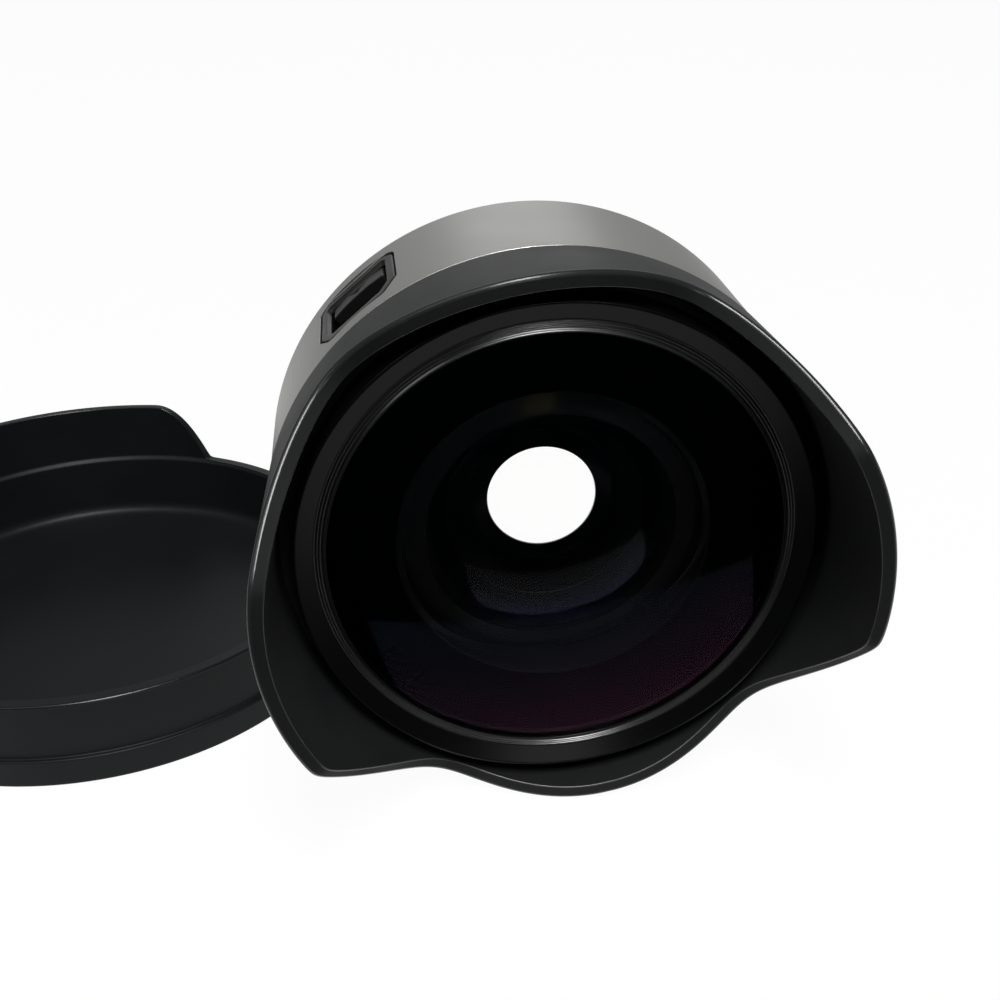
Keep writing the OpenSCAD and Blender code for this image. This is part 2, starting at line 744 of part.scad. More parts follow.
// Carriage under the frame, its leg and the lock pin
module lock_pin() {
    color("#8a8a8e") at_window() union() {
        block(carriage_w, carriage_y, carriage_top_y, carriage_s, leg_front_s);
        block(leg_w, leg_y, carriage_top_y, leg_front_s - leg_len, leg_front_s);
        translate([0, pin_y, 0]) rod(pin_r, pin_tip_s, leg_front_s - leg_len / 2);
    }
}

// Coil spring between the leg and the web, one unbroken tube of wire
module lock_spring() {
    sides = 6;
    rings = [for (i = [0 : spring_rings])
        let (a = 360 * spring_curls * i / spring_rings, c = spring_path[i])
        each [for (k = [0 : sides - 1])
            let (b = 360 * k / sides)
            c + spring_wire_r * [cos(a) * cos(b), sin(a) * cos(b), sin(b)]]];
    walls = [for (i = [0 : spring_rings - 1], k = [0 : sides - 1])
        let (a = sides * i, b = sides * (i + 1), m = (k + 1) % sides)
        each [[a + k, b + m, b + k], [a + k, a + m, b + m]]];
    last = sides * spring_rings;
    ends = [for (k = [1 : sides - 2]) each [[0, k + 1, k], [last, last + k, last + k + 1]]];
    color("silver") at_window() translate([0, pin_y, 0]) polyhedron(rings, concat(walls, ends));
}

// Pin in the web that keeps the spring in line
module spring_rod() {
    color("silver") at_window() translate([0, pin_y, 0]) rod(rod_r, rod_s, web_rear_s + rod_depth);
}

// Plate under the carriage, slotted for the leg
module guide_plate() {
    slot_w = leg_w + 2 * run_gap;
    slot_s = leg_front_s - leg_len - run_gap;
    color("#77777b") at_window() difference() {
        block(plate_w, plate_y, plate_y + plate_t, plate_s, plate_s + plate_len);
        block(slot_w, plate_y - over, plate_y + plate_t + over, slot_s, leg_front_s + travel + run_gap);
        at_guide_screws() outward_rod(small_screw_r + slip, plate_y - over, plate_y + plate_t + over);
    }
}

// Two screws through the guide plate into the window frame
module guide_screws() {
    color("silver") at_window() at_guide_screws() union() {
        outward_rod(small_head_r, plate_y - small_head_h, plate_y);
        outward_rod(small_screw_r, plate_y - small_head_h / 2, pocket_floor_r);
    }
}

// Push-on cap, lying beside the lens with its opening up
module front_cap() {
    top = cap_tall_h + over;
    color("#151517") translate([cap_x, cap_y, table_z]) difference() {
        rotate_extrude() difference() {
            polygon([[0, 0], [cap_band_r, 0], [cap_band_r, cap_band_h], [cap_r, cap_band_h], [cap_r, top],
                     [cap_in_r + cap_ledge, top], [cap_in_r + cap_ledge, cap_ledge_h + cap_ledge],
                     [cap_in_r, cap_ledge_h], [cap_in_r, cap_base_t + cap_fillet],
                     [cap_in_r - cap_fillet, cap_base_t], [0, cap_base_t]]);
            translate([cap_in_r - cap_fillet, cap_base_t + cap_fillet]) circle(r = cap_fillet, $fn = 48);
        }
        over_rim(function(a) cap_rim(a), cap_in_r - over, cap_band_r + over, top + over);
    }
}

barrel_shell();
petal_hood();
bezel_ring();
front_element();
front_seal();
front_spacer();
lens_housing();
second_element();
element_spacer();
third_element();
fourth_element();
rear_cell();
rear_retaining_ring();
rear_shield();
mount_ring();
mount_screws();
hood_dowel();
release_bezel();
release_slider();
lock_pin();
lock_spring();
spring_rod();
guide_plate();
guide_screws();
front_cap();
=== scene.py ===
"""Dresses the packed fisheye converter lens: rounded shells, coated glass, finishes, stage and camera.

Lengths are metres in the part's own frame. A station is a distance forward of the rear face, along -Y, and an
angle runs from +X towards +Z. A profile is a row of (radius, station) corners.
"""

import bmesh
import bpy
import numpy as np
from bpy.props import FloatProperty, FloatVectorProperty, IntProperty, PointerProperty
from mathutils import Matrix, Vector


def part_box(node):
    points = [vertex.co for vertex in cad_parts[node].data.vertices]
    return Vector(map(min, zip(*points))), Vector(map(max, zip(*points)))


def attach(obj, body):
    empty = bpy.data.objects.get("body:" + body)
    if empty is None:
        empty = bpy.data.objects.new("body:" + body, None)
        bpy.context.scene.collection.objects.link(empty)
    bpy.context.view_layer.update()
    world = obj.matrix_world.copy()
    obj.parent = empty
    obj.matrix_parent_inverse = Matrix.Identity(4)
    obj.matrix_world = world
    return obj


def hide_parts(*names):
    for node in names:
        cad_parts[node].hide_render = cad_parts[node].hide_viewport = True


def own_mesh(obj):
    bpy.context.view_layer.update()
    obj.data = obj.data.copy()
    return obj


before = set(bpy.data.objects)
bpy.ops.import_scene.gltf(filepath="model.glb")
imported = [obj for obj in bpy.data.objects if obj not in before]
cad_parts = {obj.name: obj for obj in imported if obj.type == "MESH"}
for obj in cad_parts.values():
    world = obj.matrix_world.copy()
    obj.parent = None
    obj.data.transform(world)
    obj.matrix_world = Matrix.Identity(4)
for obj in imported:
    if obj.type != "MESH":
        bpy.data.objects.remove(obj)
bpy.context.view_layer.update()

bl_info = {
    "name": "Fisheye converter lens",
    "version": (1, 0, 0),
    "blender": (4, 5, 0),
    "location": "3D View > Sidebar > Lens",
    "description": "Builds the shells, glass, finishes and stage of a fisheye converter lens around its CAD frame",
    "category": "Object",
}

MM = 0.001

# Meshes: points closer than MERGE become one, and an edge is sharp past SHARP, or past CUT_SHARP on a carved piece
MERGE = 1e-7
SHARP = float(np.radians(50))
CUT_SHARP = float(np.radians(35))

# Rounded outlines: steps of an arc, and the share of a side that an arc takes at most. One more point beyond each end
# of an arc lies BEYOND times as far from the corner, plus BEYOND_LEAST, at most BEYOND_MOST times that share
ARC_STEPS = 5
SIDE_SHARE = 0.44
BEYOND = 1.3
BEYOND_LEAST = 0.01 * MM
BEYOND_MOST = 1.1
FINE_EDGE = 0.1 * MM

# Glass: facing values 1 - cos(angle) between which a coating turns to its slant tint
FRONT_SPAN = (0.225, 0.335)
HOLLOW_SPAN = (0.03, 0.11)

# Surround: direction of the pale side's middle, and the cosine at which it ends
PALE_MIDDLE = (0.0, 0.96, 0.28)
PALE_END = 0.7


# Sizes taken from the packed frame

def across(node):
    """Outer radius of a round node, from its box."""
    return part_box(node)[1].x


def stations(node):
    """Rear and front station of a node, from its box."""
    low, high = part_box(node)
    return -high.y, -low.y


BARREL_R = across("barrel_shell")
BARREL_REAR, SEAM = stations("barrel_shell")
BEZEL_R = across("bezel_ring")
HOOD_FLOOR, BEZEL_TOP = stations("bezel_ring")
FRONT_R = across("front_element")
FRONT_REAR, FRONT_APEX = stations("front_element")
SECOND_R = across("second_element")
SECOND_REAR, SECOND_SEAT = stations("second_element")
PAIR_R = across("third_element")
THIRD_REAR, THIRD_APEX = stations("third_element")
FOURTH_REAR = stations("fourth_element")[0]
SHIELD_R = across("rear_shield")
MOUNT_FLOOR, MOUNT_FRONT = stations("rear_shield")
MOUNT_R = across("mount_ring")
SPRING_REAR, SPRING_FRONT = stations("lock_spring")
CAP_LOW, CAP_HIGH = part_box("front_cap")
CAP_X = (CAP_LOW.x + CAP_HIGH.x) / 2
CAP_Y = (CAP_LOW.y + CAP_HIGH.y) / 2
CAP_BAND_R = (CAP_HIGH.y - CAP_LOW.y) / 2
CAP_TALL = CAP_HIGH.z - CAP_LOW.z
TABLE_Z = CAP_LOW.z


# Property makers

def length(name, description, millimetres):
    """A length property, given in millimetres and kept in metres."""
    return FloatProperty(name=name, description=description, default=millimetres * MM, unit="LENGTH", precision=5)


def turn(name, description, degrees):
    """An angle property, given in degrees and kept in radians."""
    return FloatProperty(name=name, description=description, default=float(np.radians(degrees)), unit="ROTATION")


def share(name, description, value):
    """A plain number property."""
    return FloatProperty(name=name, description=description, default=value, precision=4)


def colour(name, description, rgb):
    """A colour property, in linear light."""
    return FloatVectorProperty(name=name, description=description, default=rgb, size=3, min=0, max=1,
                               subtype="COLOR")


class BarrelShape(bpy.types.PropertyGroup):
    """Sizes of the silver barrel."""
    wall: length("Wall", "Thickness of the barrel's wall", 1.9)
    lip: length("Rear lip", "Length of the lip at the barrel's rear", 1.4)
    lip_depth: length("Lip depth", "How far the rear lip stands in from the bore", 1.0)
    chamfer: length("Chamfer", "Bright chamfer at each end", 0.4)
    edge: length("Edge rounding", "Rounding of the barrel's edges", 0.05)
    window_gap: length("Window gap", "Gap between the window and the frame in it", 0.25)
    window_break: length("Window edge", "Broken edge round the window", 0.05)


class HoodShape(bpy.types.PropertyGroup):
    """Sizes of the petal hood."""
    roll: turn("Lying roll", "Turn of the lens about its axis as it lies", 10.5)
    step: length("Step", "How far the hood stands out from the barrel", 0.2)
    flare: turn("Flare", "Angle at which the hood opens", 2.4)
    wall: length("Wall", "Thickness of the hood's wall", 1.65)
    bore: length("Foot radius", "Inner radius of the hood's foot", 28.35)
    foot: length("Foot", "Length of the foot inside the barrel line", 1.3)
    collar: length("Collar radius", "Radius of the collar that the hood sits over", 26.15)
    long_len: length("Long petal", "Length of a long petal from the seam", 20.5)
    long_half: turn("Long petal half width", "Half of the long petal's flat end", 21.2)
    flank: turn("Flank", "Slope of the long petal's sides", 43.7)
    short_len: length("Short petal", "Length of a short petal from the seam", 10.1)
    crown: length("Short petal crown", "Radius of the short petal's crown", 28.7)
    corner: length("Corner blend", "Blend at the long petal's corners", 0.9)
    valley: length("Valley blend", "Blend in the valleys", 6.9)
    edge: length("Outer edge", "Rounding of the rim's outer edge", 0.45)
    inner_edge: length("Inner edge", "Rounding of the rim's inner edge", 0.16)
    seam_bevel: length("Seam bevel", "Length of the bevel at the seam", 0.45)
    seam_drop: length("Seam drop", "Depth of the bevel at the seam", 0.25)


class BezelShape(bpy.types.PropertyGroup):
    """Sizes of the bezel ring round the front glass."""
    rise: length("Rise", "Height of the cone above its foot", 1.1)
    fall: length("Fall", "How far the grooved band falls from the glass to the cone's foot", 0.36)
    lip: length("Lip", "Thickness of the lip over the glass", 0.4)
    lip_r: length("Lip radius", "Inner radius of the lip", 24.05)
    skirt_r: length("Skirt radius", "Inner radius below the lip", 26.15)
    groove_count: IntProperty(name="Grooves", description="Number of fine grooves", default=3, min=1)
    groove_inset: length("Groove inset", "First groove from the lip's edge", 0.48)
    groove_pitch: length("Groove pitch", "Step between grooves", 0.31)
    groove_w: length("Groove width", "Width of a groove", 0.14)
    groove_d: length("Groove depth", "Depth of a groove", 0.14)
    edge: length("Edge rounding", "Rounding of the fine edges", 0.05)
    lip_edge: length("Lip rounding", "Rounding of the lip's edge over the glass", 0.1)
    rim_edge: length("Rim rounding", "Rounding of the cone's top", 0.22)


class GlassShape(bpy.types.PropertyGroup):
    """Curves of the four glass pieces."""
    front_r1: length("Front dome", "Radius of the front glass's dome", 130)
    front_r2: length("Front hollow", "Radius of the front glass's hollow", 36)
    front_hollow: length("Front hollow width", "Radius at which the hollow starts", 16.5)
    second_r1: length("Second front", "Radius of the second glass's front hollow", 60)
    second_r2: length("Second rear", "Radius of the second glass's rear hollow", 22)
    second_front_rim: length("Second front rim", "Flat rim at its front", 1.0)
    second_rear_rim: length("Second rear rim", "Flat rim at its rear", 1.8)
    third_r1: length("Third dome", "Radius of the third glass's dome", 40)
    cement_r: length("Cemented face", "Radius of the face that the pair shares", 48)
    cement: length("Cement", "Thickness of the cement", 0.02)
    fourth_r2: length("Fourth dome", "Radius of the fourth glass's rear dome", 80)
    edge: length("Edge break", "Broken edge of each glass", 0.15)


class ReleaseShape(bpy.types.PropertyGroup):
    """Sizes of the release window, its frame and its knob."""
    angle: turn("Window angle", "Angle of the window from the top of the lens", 29.6)
    width: length("Window width", "Width across the barrel", 10.4)
    long: length("Window length", "Length along the barrel", 11.7)
    inset: length("Window inset", "Distance from the barrel's rear", 3.15)
    front_cut_w: length("Front cut width", "Width of the front corner cuts", 1.75)
    front_cut: length("Front cut length", "Length of the front corner cuts", 3.0)
    rear_cut: length("Rear cut", "Size of the rear corner cuts", 0.9)
    border: length("Border", "Width of the frame at its sides", 1.25)
    rear_border: length("Rear border", "Width of the frame at its rear", 1.5)
    front_border: length("Front border", "Width of the frame at its front", 1.7)
    sink: length("Frame sink", "How far the frame's top lies under the barrel", 0.05)
    pocket: length("Pocket depth", "Depth of the pocket under the barrel's skin", 2.4)
    bevel: length("Inner bevel", "Depth of the bevel round the pocket", 0.4)
    corner: length("Corner rounding", "Rounding of the frame's corners", 0.85)
    pocket_corner: length("Pocket rounding", "Rounding of the pocket's corners", 0.3)
    gap: length("Running gap", "Gap round the knob", 0.35)
    knob_len: length("Knob length", "Length of the knob along the barrel", 3.3)
    knob_sink: length("Knob sink", "How far the knob's top lies under the barrel", 0.5)
    knob_slope: length("Knob slope", "Length of the slope at the knob's front", 1.05)
    knob_edge: length("Knob rounding", "Rounding of the knob's top edges", 0.22)
    mark_w: length("Mark width", "Width of the triangle", 2.4)
    mark_len: length("Mark length", "Length of the triangle", 1.1)
    mark_d: length("Mark depth", "Depth of the triangle", 0.16)
    stem_w: length("Stem width", "Width of the stem under the knob", 2.2)
    stem_floor: length("Stem foot", "Radius at which the stem ends", 26.5)
    stem_rear: length("Stem start", "Distance of the stem from the knob's rear", 0.6)
    stem_len: length("Stem length", "Length of the stem along the barrel", 2.0)
    pin_ring: length("Pin ring", "Radius at which the pin and its spring stand", 22.5)
    pin_r: length("Pin radius", "Radius of the lock pin", 0.9)
    pin_gap: length("Pin gap", "Gap round the lock pin", 0.05)
    spring_r: length("Spring radius", "Radius of the coil", 1.3)
    wire_r: length("Wire radius", "Radius of the spring's wire", 0.17)
    curls: IntProperty(name="Curls", description="Number of turns of the spring", default=7, min=3)
    keep: share("Spring keep", "Share of the spring's length left when the knob is drawn", 0.742)


class MountShape(bpy.types.PropertyGroup):
    """Sizes of the rear bayonet ring."""
    rim_r: length("Rim radius", "Outer radius of the rear rim", 27.3)
    socket_r: length("Socket radius", "Inner radius of the rear rim", 25.0)
    socket: length("Socket length", "Length of the socket's wall", 2.4)
    undercut: length("Undercut", "Depth of the channel behind the wall", 0.6)
    seat_gap: length("Seat gap", "Gap round the rear plate", 0.05)
    lug_count: IntProperty(name="Lugs", description="Number of bayonet lugs", default=3, min=2)
    lug_turn: turn("Lug turn", "Start of the first lug from the window", 60)
    lug_arc: turn("Lug arc", "Length of a lug round the ring", 36)
    lug_depth: length("Lug depth", "How far a lug stands in", 1.0)
    lug_gap: length("Lug gap", "Gap behind the socket's wall", 0.3)
    lug_t: length("Lug thickness", "Thickness of a lug", 1.2)
    screw_count: IntProperty(name="Screws", description="Number of mount screws", default=4, min=2)
    screw_turn: turn("Screw turn", "First screw from the window", 45)
    screw_ring: length("Screw ring", "Radius at which the screws stand", 21.675)
    screw_head: length("Screw head", "Radius of a screw's head", 1.4)
    screw_head_h: length("Screw head height", "Height of a screw's head", 0.9)
    screw_r: length("Screw radius", "Radius of a screw's thread", 0.8)
    screw_len: length("Screw length", "Length of a screw past the floor", 5.0)
    slot_w: length("Slot width", "Width of the cross slot", 0.4)
    aperture: length("Rear aperture", "Radius of the clear opening", 9.3)
    edge: length("Edge rounding", "Rounding of the ring's edges", 0.16)


class CapShape(bpy.types.PropertyGroup):
    """Sizes of the push-on cap."""
    wall: length("Wall", "Thickness of the cap's wall", 1.8)
    base: length("Base", "Thickness of the cap's floor", 1.6)
    band_step: length("Band step", "How far the base band stands out", 0.6)
    band_h: length("Band height", "Height of the base band", 3.7)
    low_h: length("Low rim", "Height of the low rim", 11.0)
    tab_angle: turn("Tab angle", "Middle of the tall tab", 115)
    tab_half: turn("Tab half width", "Half of the tab's flat top", 35.5)
    tab_fall: turn("Tab fall", "Angle over which the tab falls to the low rim", 13.5)
    tab_round: share("Tab roundness", "How full the curve of that fall is", 2.1)
    tab_foot: length("Tab foot", "Width of the blend at the foot of that fall", 0.5)
    ledge_h: length("Ledge height", "Height of the ledge inside the tab", 10.6)
    ledge: length("Ledge", "Depth of the ledge", 0.5)
    fillet: length("Fillet", "Fillet between floor and wall", 1.5)
    edge: length("Rim rounding", "Rounding of the rim's edges", 0.3)
    band_edge: length("Band rounding", "Rounding of the band's edges", 0.4)


class LensFinishes(bpy.types.PropertyGroup):
    """Colours and sheen of each finish."""
    silver: colour("Silver", "Bead-blasted aluminium", (0.3, 0.297, 0.287))
    silver_edge: colour("Silver edge", "Freshly cut chamfer", (0.86, 0.85, 0.83))
    silver_rough: share("Silver roughness", "Roughness of the blasted skin", 0.43)
    hood: colour("Hood", "Satin black outside of the hood", (0.016, 0.0167, 0.0171))
    hood_inside: colour("Hood inside", "Matte black inside of the hood", (0.0045, 0.005, 0.0055))
    hood_rough: share("Hood roughness", "Roughness of the outside", 0.55)
    rim_rough: share("Rim roughness", "Roughness of the rubbed edges of the rim", 0.26)
    bezel: colour("Bezel", "Turned black ring", (0.0013, 0.0014, 0.0015))
    bezel_rough: share("Bezel roughness", "Roughness of the turned ring", 0.25)
    # Band crests is a lighter colour on the crests of the fine ridges: a painted highlight.
    band_edge: colour("Band crests", "Crests of the fine ridges", (0.014, 0.014, 0.0145))
    band_rough: share("Band roughness", "Roughness of the fine ridges", 0.25)
    front_coat: colour("Front coating", "Tint of the front glass's reflections", (0.52, 0.95, 0.36))
    front_slant: colour("Front coating at a slant", "Tint of those reflections at a slant", (0.88, 0.68, 0.76))
    hollow_coat: colour("Hollow coating", "Tint of reflections in the front glass's hollow", (0.03, 0.04, 0.05))
    hollow_slant: colour("Hollow coating at a slant", "Tint of those reflections at a slant", (0.165, 0.26, 0.5))
    inner_coat: colour("Inner coating", "Tint of the reflections further in", (0.1, 0.13, 0.12))
    film: share("Coating thickness", "Thickness of the front coating in nanometres", 118.0)
    film_index: share("Coating index", "Refractive index of the coating", 1.33)
    front_index: share("Front index", "Refractive index of the front glass", 1.62)
    inner_index: share("Inner index", "Refractive index of the inner glass", 1.72)
    paint: colour("Edge paint", "Blackened glass edges and inner parts", (0.0016, 0.0016, 0.0018))
    mount: colour("Mount", "Black rear ring", (0.014, 0.014, 0.015))
    steel: colour("Steel", "Plated screws, pin and spring", (0.55, 0.55, 0.56))
    rubber: colour("Rubber", "Seal", (0.012, 0.012, 0.012))
    plastic: colour("Release plastic", "Frame and knob of the release", (0.0085, 0.009, 0.009))
    # Release inside is a darker colour on the pocket, the knob's front slope and its sunk mark: painted shade.
    plastic_painted_shade: colour("Release inside", "Pocket, slope and mark of the release", (0.0012, 0.0012, 0.0013))
    cap: colour("Cap", "Satin black plastic", (0.0066, 0.0078, 0.0084))
    cap_rough: share("Cap roughness", "Roughness of the cap", 0.42)


class StageSetup(bpy.types.PropertyGroup):
    """Floor, lamps and camera."""
    floor: colour("Floor", "Colour of the floor", (0.9, 0.9, 0.9))
    floor_front: length("Floor front", "Distance of the floor's front edge from the lens's rear face", 62)
    floor_white: share("Floor white", "Share of plain white that the floor shows to camera, metal and glass", 0.96)
    dim: share("Dim side", "Brightness of the surround on the camera's side", 0.04)
    pale: share("Pale side", "Brightness of the surround behind the object", 0.75)
    top_level: share("Top panel", "Brightness of the panel above", 29.0)
    back_level: share("Back panel", "Brightness of the panel behind", 1.2)
    left_level: share("Left panel", "Brightness of the panel at the left", 1.6)
    front_level: share("Front panel", "Brightness of the panel in front", 3.4)
    camera: FloatVectorProperty(name="Camera", description="Place of the camera", size=3, unit="LENGTH",
                                default=(-18.298 * MM, -144.195 * MM, 66.459 * MM))
    heading: turn("Heading", "Turn of the camera to the right of +Y", 6.649)
    pitch: turn("Pitch", "Tilt of the camera", -29.591)
    roll: turn("Roll", "Roll of the camera", -0.496)
    focal: FloatProperty(name="Focal length", description="Focal length of the camera in millimetres", default=46.16)
    shift_x: share("Shift across", "Sideways shift of the frame", -0.01212)
    shift_y: share("Shift up", "Upward shift of the frame", 0.04882)


# Surfaces worked out with numpy

class Shell:
    """One surface: points, four-cornered faces, closing faces, and an edge and a finish for each."""

    def __init__(self, points, quads, caps=(), edge=0.0, finish=0):
        self.points = np.asarray(points, float).reshape(-1, 3)
        self.quads = np.asarray(quads, int).reshape(-1, 4)
        self.caps = [np.asarray(cap, int) for cap in caps]
        self.edge = np.broadcast_to(np.asarray(edge, float), len(self.points))
        self.finish = np.broadcast_to(np.asarray(finish, int), len(self.quads))


def grid(rows, columns, wrap_rows, wrap_columns):
    """Faces of a grid of points: each joins a point, the next in its column, and their neighbours along the row."""
    row = np.arange(rows if wrap_rows else rows - 1)[:, None]
    column = np.arange(columns if wrap_columns else columns - 1)[None, :]
    next_row, next_column = (row + 1) % rows, (column + 1) % columns
    corners = [row * columns + column, next_row * columns + column, next_row * columns + next_column,
               row * columns + next_column]
    return np.stack(np.broadcast_arrays(*corners), -1).reshape(-1, 4)


def full_turn(steps):
    """Angles of equal steps once round."""
    return np.arange(steps) * 2 * np.pi / steps


def all_round(steps, *corners):
    """One outline per angle from (radius, station) corners, whose values are numbers or have one entry per angle."""
    still = np.zeros(steps)
    return np.stack([np.stack([radius + still, station + still], -1) for radius, station in corners], axis=1)


def rounded(corners, radii, steps=ARC_STEPS):
    """Closed outline with an arc at each corner.

    The arc starts and ends at radius / tan(half the corner's angle) from the corner, at most SIDE_SHARE of each side,
    and is the rational curve of weight sin(half angle), which is a true circle. One more point beyond each end keeps
    the sides flat, so a corner gives steps + 3 points. Leading axes are separate outlines.
    """
    corner = np.asarray(corners, float)
    radius = np.broadcast_to(np.asarray(radii, float), corner.shape[:-1])
    back = np.roll(corner, 1, axis=-2) - corner
    ahead = np.roll(corner, -1, axis=-2) - corner
    back_len = np.linalg.norm(back, axis=-1)
    ahead_len = np.linalg.norm(ahead, axis=-1)
    back = back / back_len[..., None]
    ahead = ahead / ahead_len[..., None]
    half = np.arccos(np.clip((back * ahead).sum(-1), -1, 1)) / 2
    room = SIDE_SHARE * np.minimum(back_len, ahead_len)
    cut = np.minimum(radius / np.maximum(np.tan(half), 1e-6), room)
    more = np.minimum(cut * BEYOND + BEYOND_LEAST, room * BEYOND_MOST)
    weight = np.sin(half)[..., None, None]
    t = np.linspace(0, 1, steps + 1)[:, None]
    start = (corner + back * cut[..., None])[..., None, :]
    end = (corner + ahead * cut[..., None])[..., None, :]
    middle = corner[..., None, :]
    total = (1 - t) ** 2 + 2 * weight * t * (1 - t) + t ** 2
    arc = ((1 - t) ** 2 * start + 2 * weight * t * (1 - t) * middle + t ** 2 * end) / total
    before = (corner + back * more[..., None])[..., None, :]
    after = (corner + ahead * more[..., None])[..., None, :]
    line = np.concatenate([before, arc, after], axis=-2)
    return line.reshape(*corner.shape[:-2], -1, 2)


def rectangle(low, high, rear, front):
    """Corners of a box between two values across and two stations."""
    return np.array([[low, rear], [high, rear], [high, front], [low, front]])


def arc_marks(count, marked, steps=ARC_STEPS):
    """Value 1 on the arcs of the marked corners of a rounded outline, 0 elsewhere."""
    marks = np.zeros((count, steps + 3))
    for corner in marked:
        marks[corner, 1:-1] = 1
    return marks.reshape(-1)


def round_the_axis(radius, angle, station):
    """Point at a radius, angle and station: (radius cos angle, -station, radius sin angle)."""
    radius, angle, station = np.broadcast_arrays(radius, angle, station)
    return np.stack([radius * np.cos(angle), -station, radius * np.sin(angle)], -1)


def turned(profile, steps, edge=0.0, finish=0, closed=True):
    """Profile carried round the optical axis. A profile may differ from angle to angle along its first axis."""
    profile = np.asarray(profile, float)
    if profile.ndim == 2:
        profile = np.broadcast_to(profile, (steps, *profile.shape))
    points = round_the_axis(profile[..., 0], full_turn(steps)[:, None], profile[..., 1])
    rows, columns = points.shape[:2]
    quads = grid(rows, columns, True, closed)
    edge = np.broadcast_to(edge, (rows, columns)).reshape(-1)
    if np.ndim(finish):
        finish = np.broadcast_to(finish, (rows, len(finish))).reshape(-1)
    return Shell(points, quads, (), edge, finish)


def stacked(rings, edge=0.0, finish=0):
    """Closed outlines stacked into one body, with a face over the first and the last."""
    rings = np.asarray(rings, float)
    rows, columns = rings.shape[:2]
    caps = [np.arange(columns), np.arange(columns) + (rows - 1) * columns]
    return Shell(rings, grid(rows, columns, False, True), caps, edge, finish)


def sag(radius, r):
    """Depth of a sphere's face at radius r: radius - sqrt(radius^2 - r^2)."""
    return radius - np.sqrt(radius ** 2 - np.asarray(r, float) ** 2)


def smooth_max(a, b, width):
    """Larger of two values with a blend: (a + b + sqrt((a - b)^2 + width^2)) / 2."""
    return (a + b + np.sqrt((a - b) ** 2 + width ** 2)) / 2


def smooth_min(a, b, width):
    """Smaller of two values with a blend."""
    return -smooth_max(-a, -b, width)


def ease(t):
    """Smooth step from 0 to 1: t^2 (3 - 2 t)."""
    t = np.clip(t, 0, 1)
    return t * t * (3 - 2 * t)


def add_object(name, data):
    """A new object, linked to the scene."""
    item = bpy.data.objects.new(name, data)
    bpy.context.scene.collection.objects.link(item)
    return item


def turn_outwards(mesh, smooth=False):
    """Merges a mesh's doubles, turns its faces outwards and sets their shading."""
    work = bmesh.new()
    work.from_mesh(mesh)
    bmesh.ops.remove_doubles(work, verts=work.verts, dist=MERGE)
    bmesh.ops.recalc_face_normals(work, faces=work.faces)
    for face in work.faces:
        face.smooth = smooth
    work.to_mesh(mesh)
    work.free()


def make_piece(name, shells, finishes, body, nodes):
    """Joins shells into one mesh object, gives it its finishes and rides it on a body in place of CAD nodes."""
    points = np.concatenate([shell.points for shell in shells])
    starts = np.cumsum([0] + [len(shell.points) for shell in shells])
    faces, slots = [], []
    for shell, start in zip(shells, starts):
        faces += (shell.quads + start).tolist() + [(cap + start).tolist() for cap in shell.caps]
        slots += shell.finish.tolist() + [int(shell.finish[-1])] * len(shell.caps)
    mesh = bpy.data.meshes.new(name)
    mesh.from_pydata(points.tolist(), [], faces)
    mesh.polygons.foreach_set("material_index", slots)
    mark = mesh.attributes.new("edge", "FLOAT", "POINT")
    mark.data.foreach_set("value", np.concatenate([shell.edge for shell in shells]))
    turn_outwards(mesh, smooth=True)
    mesh.set_sharp_from_angle(angle=SHARP)
    piece = add_object(name, mesh)
    for finish in finishes:
        mesh.materials.append(finish)
    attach(piece, body)
    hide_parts(*nodes)
    return piece


def carve(piece, shell):
    """Takes a closed shell away from a piece with an exact boolean, and marks the new edges sharp."""
    mesh = bpy.data.meshes.new("cutter")
    mesh.from_pydata(shell.points.tolist(), [], shell.quads.tolist() + [cap.tolist() for cap in shell.caps])
    turn_outwards(mesh)
    cutter = add_object("cutter", mesh)
    cut = piece.modifiers.new("cut", "BOOLEAN")
    cut.operation = "DIFFERENCE"
    cut.solver = "EXACT"
    cut.object = cutter
    bpy.context.view_layer.update()
    graph = bpy.context.evaluated_depsgraph_get()
    carved = bpy.data.meshes.new_from_object(piece.evaluated_get(graph), preserve_all_data_layers=True,
                                             depsgraph=graph)
    piece.modifiers.clear()
    old = piece.data
    carved.name = old.name + "_cut"
    carved.set_sharp_from_angle(angle=CUT_SHARP)
    piece.data = carved
    bpy.data.meshes.remove(old)
    bpy.data.objects.remove(cutter)
    bpy.data.meshes.remove(mesh)


# Finishes

def new_tree(tree):
    """Empties a node tree and gives the maker of its nodes."""
    tree.nodes.clear()

    def add(kind, settings=None, **sockets):
        """Adds a node; sockets are given by name, with _ for a space, as values or as sockets to link."""
        node = tree.nodes.new(kind)
        for key, value in (settings or {}).items():
            setattr(node, key, value)
        for key, value in sockets.items():
            socket = node.inputs[int(key[1:])] if key[1:].isdigit() else node.inputs[key.replace("_", " ")]
            if isinstance(value, bpy.types.NodeSocket):
                tree.links.new(value, socket)
            else:
                socket.default_value = value
        return node

    return add


def new_material(name):
    """A new material and the maker of its nodes."""
    material = bpy.data.materials.new(name)
    material.use_nodes = True
    return material, new_tree(material.node_tree)


def new_group(name, inputs, outputs):
    """A new group of nodes, the maker of its nodes, and the sockets of what it is given.

    It is given a vector and the numbers in inputs, each with its default, and puts out the numbers in outputs.
    """
    group = bpy.data.node_groups.new(name, "ShaderNodeTree")
    group.interface.new_socket(name="Vector", in_out="INPUT", socket_type="NodeSocketVector")
    for key, default in inputs.items():
        socket = group.interface.new_socket(name=key, in_out="INPUT", socket_type="NodeSocketFloat")
        socket.default_value = default
    for key in outputs:
        group.interface.new_socket(name=key, in_out="OUTPUT", socket_type="NodeSocketFloat")
    add = new_tree(group)
    return group, add, add("NodeGroupInput").outputs


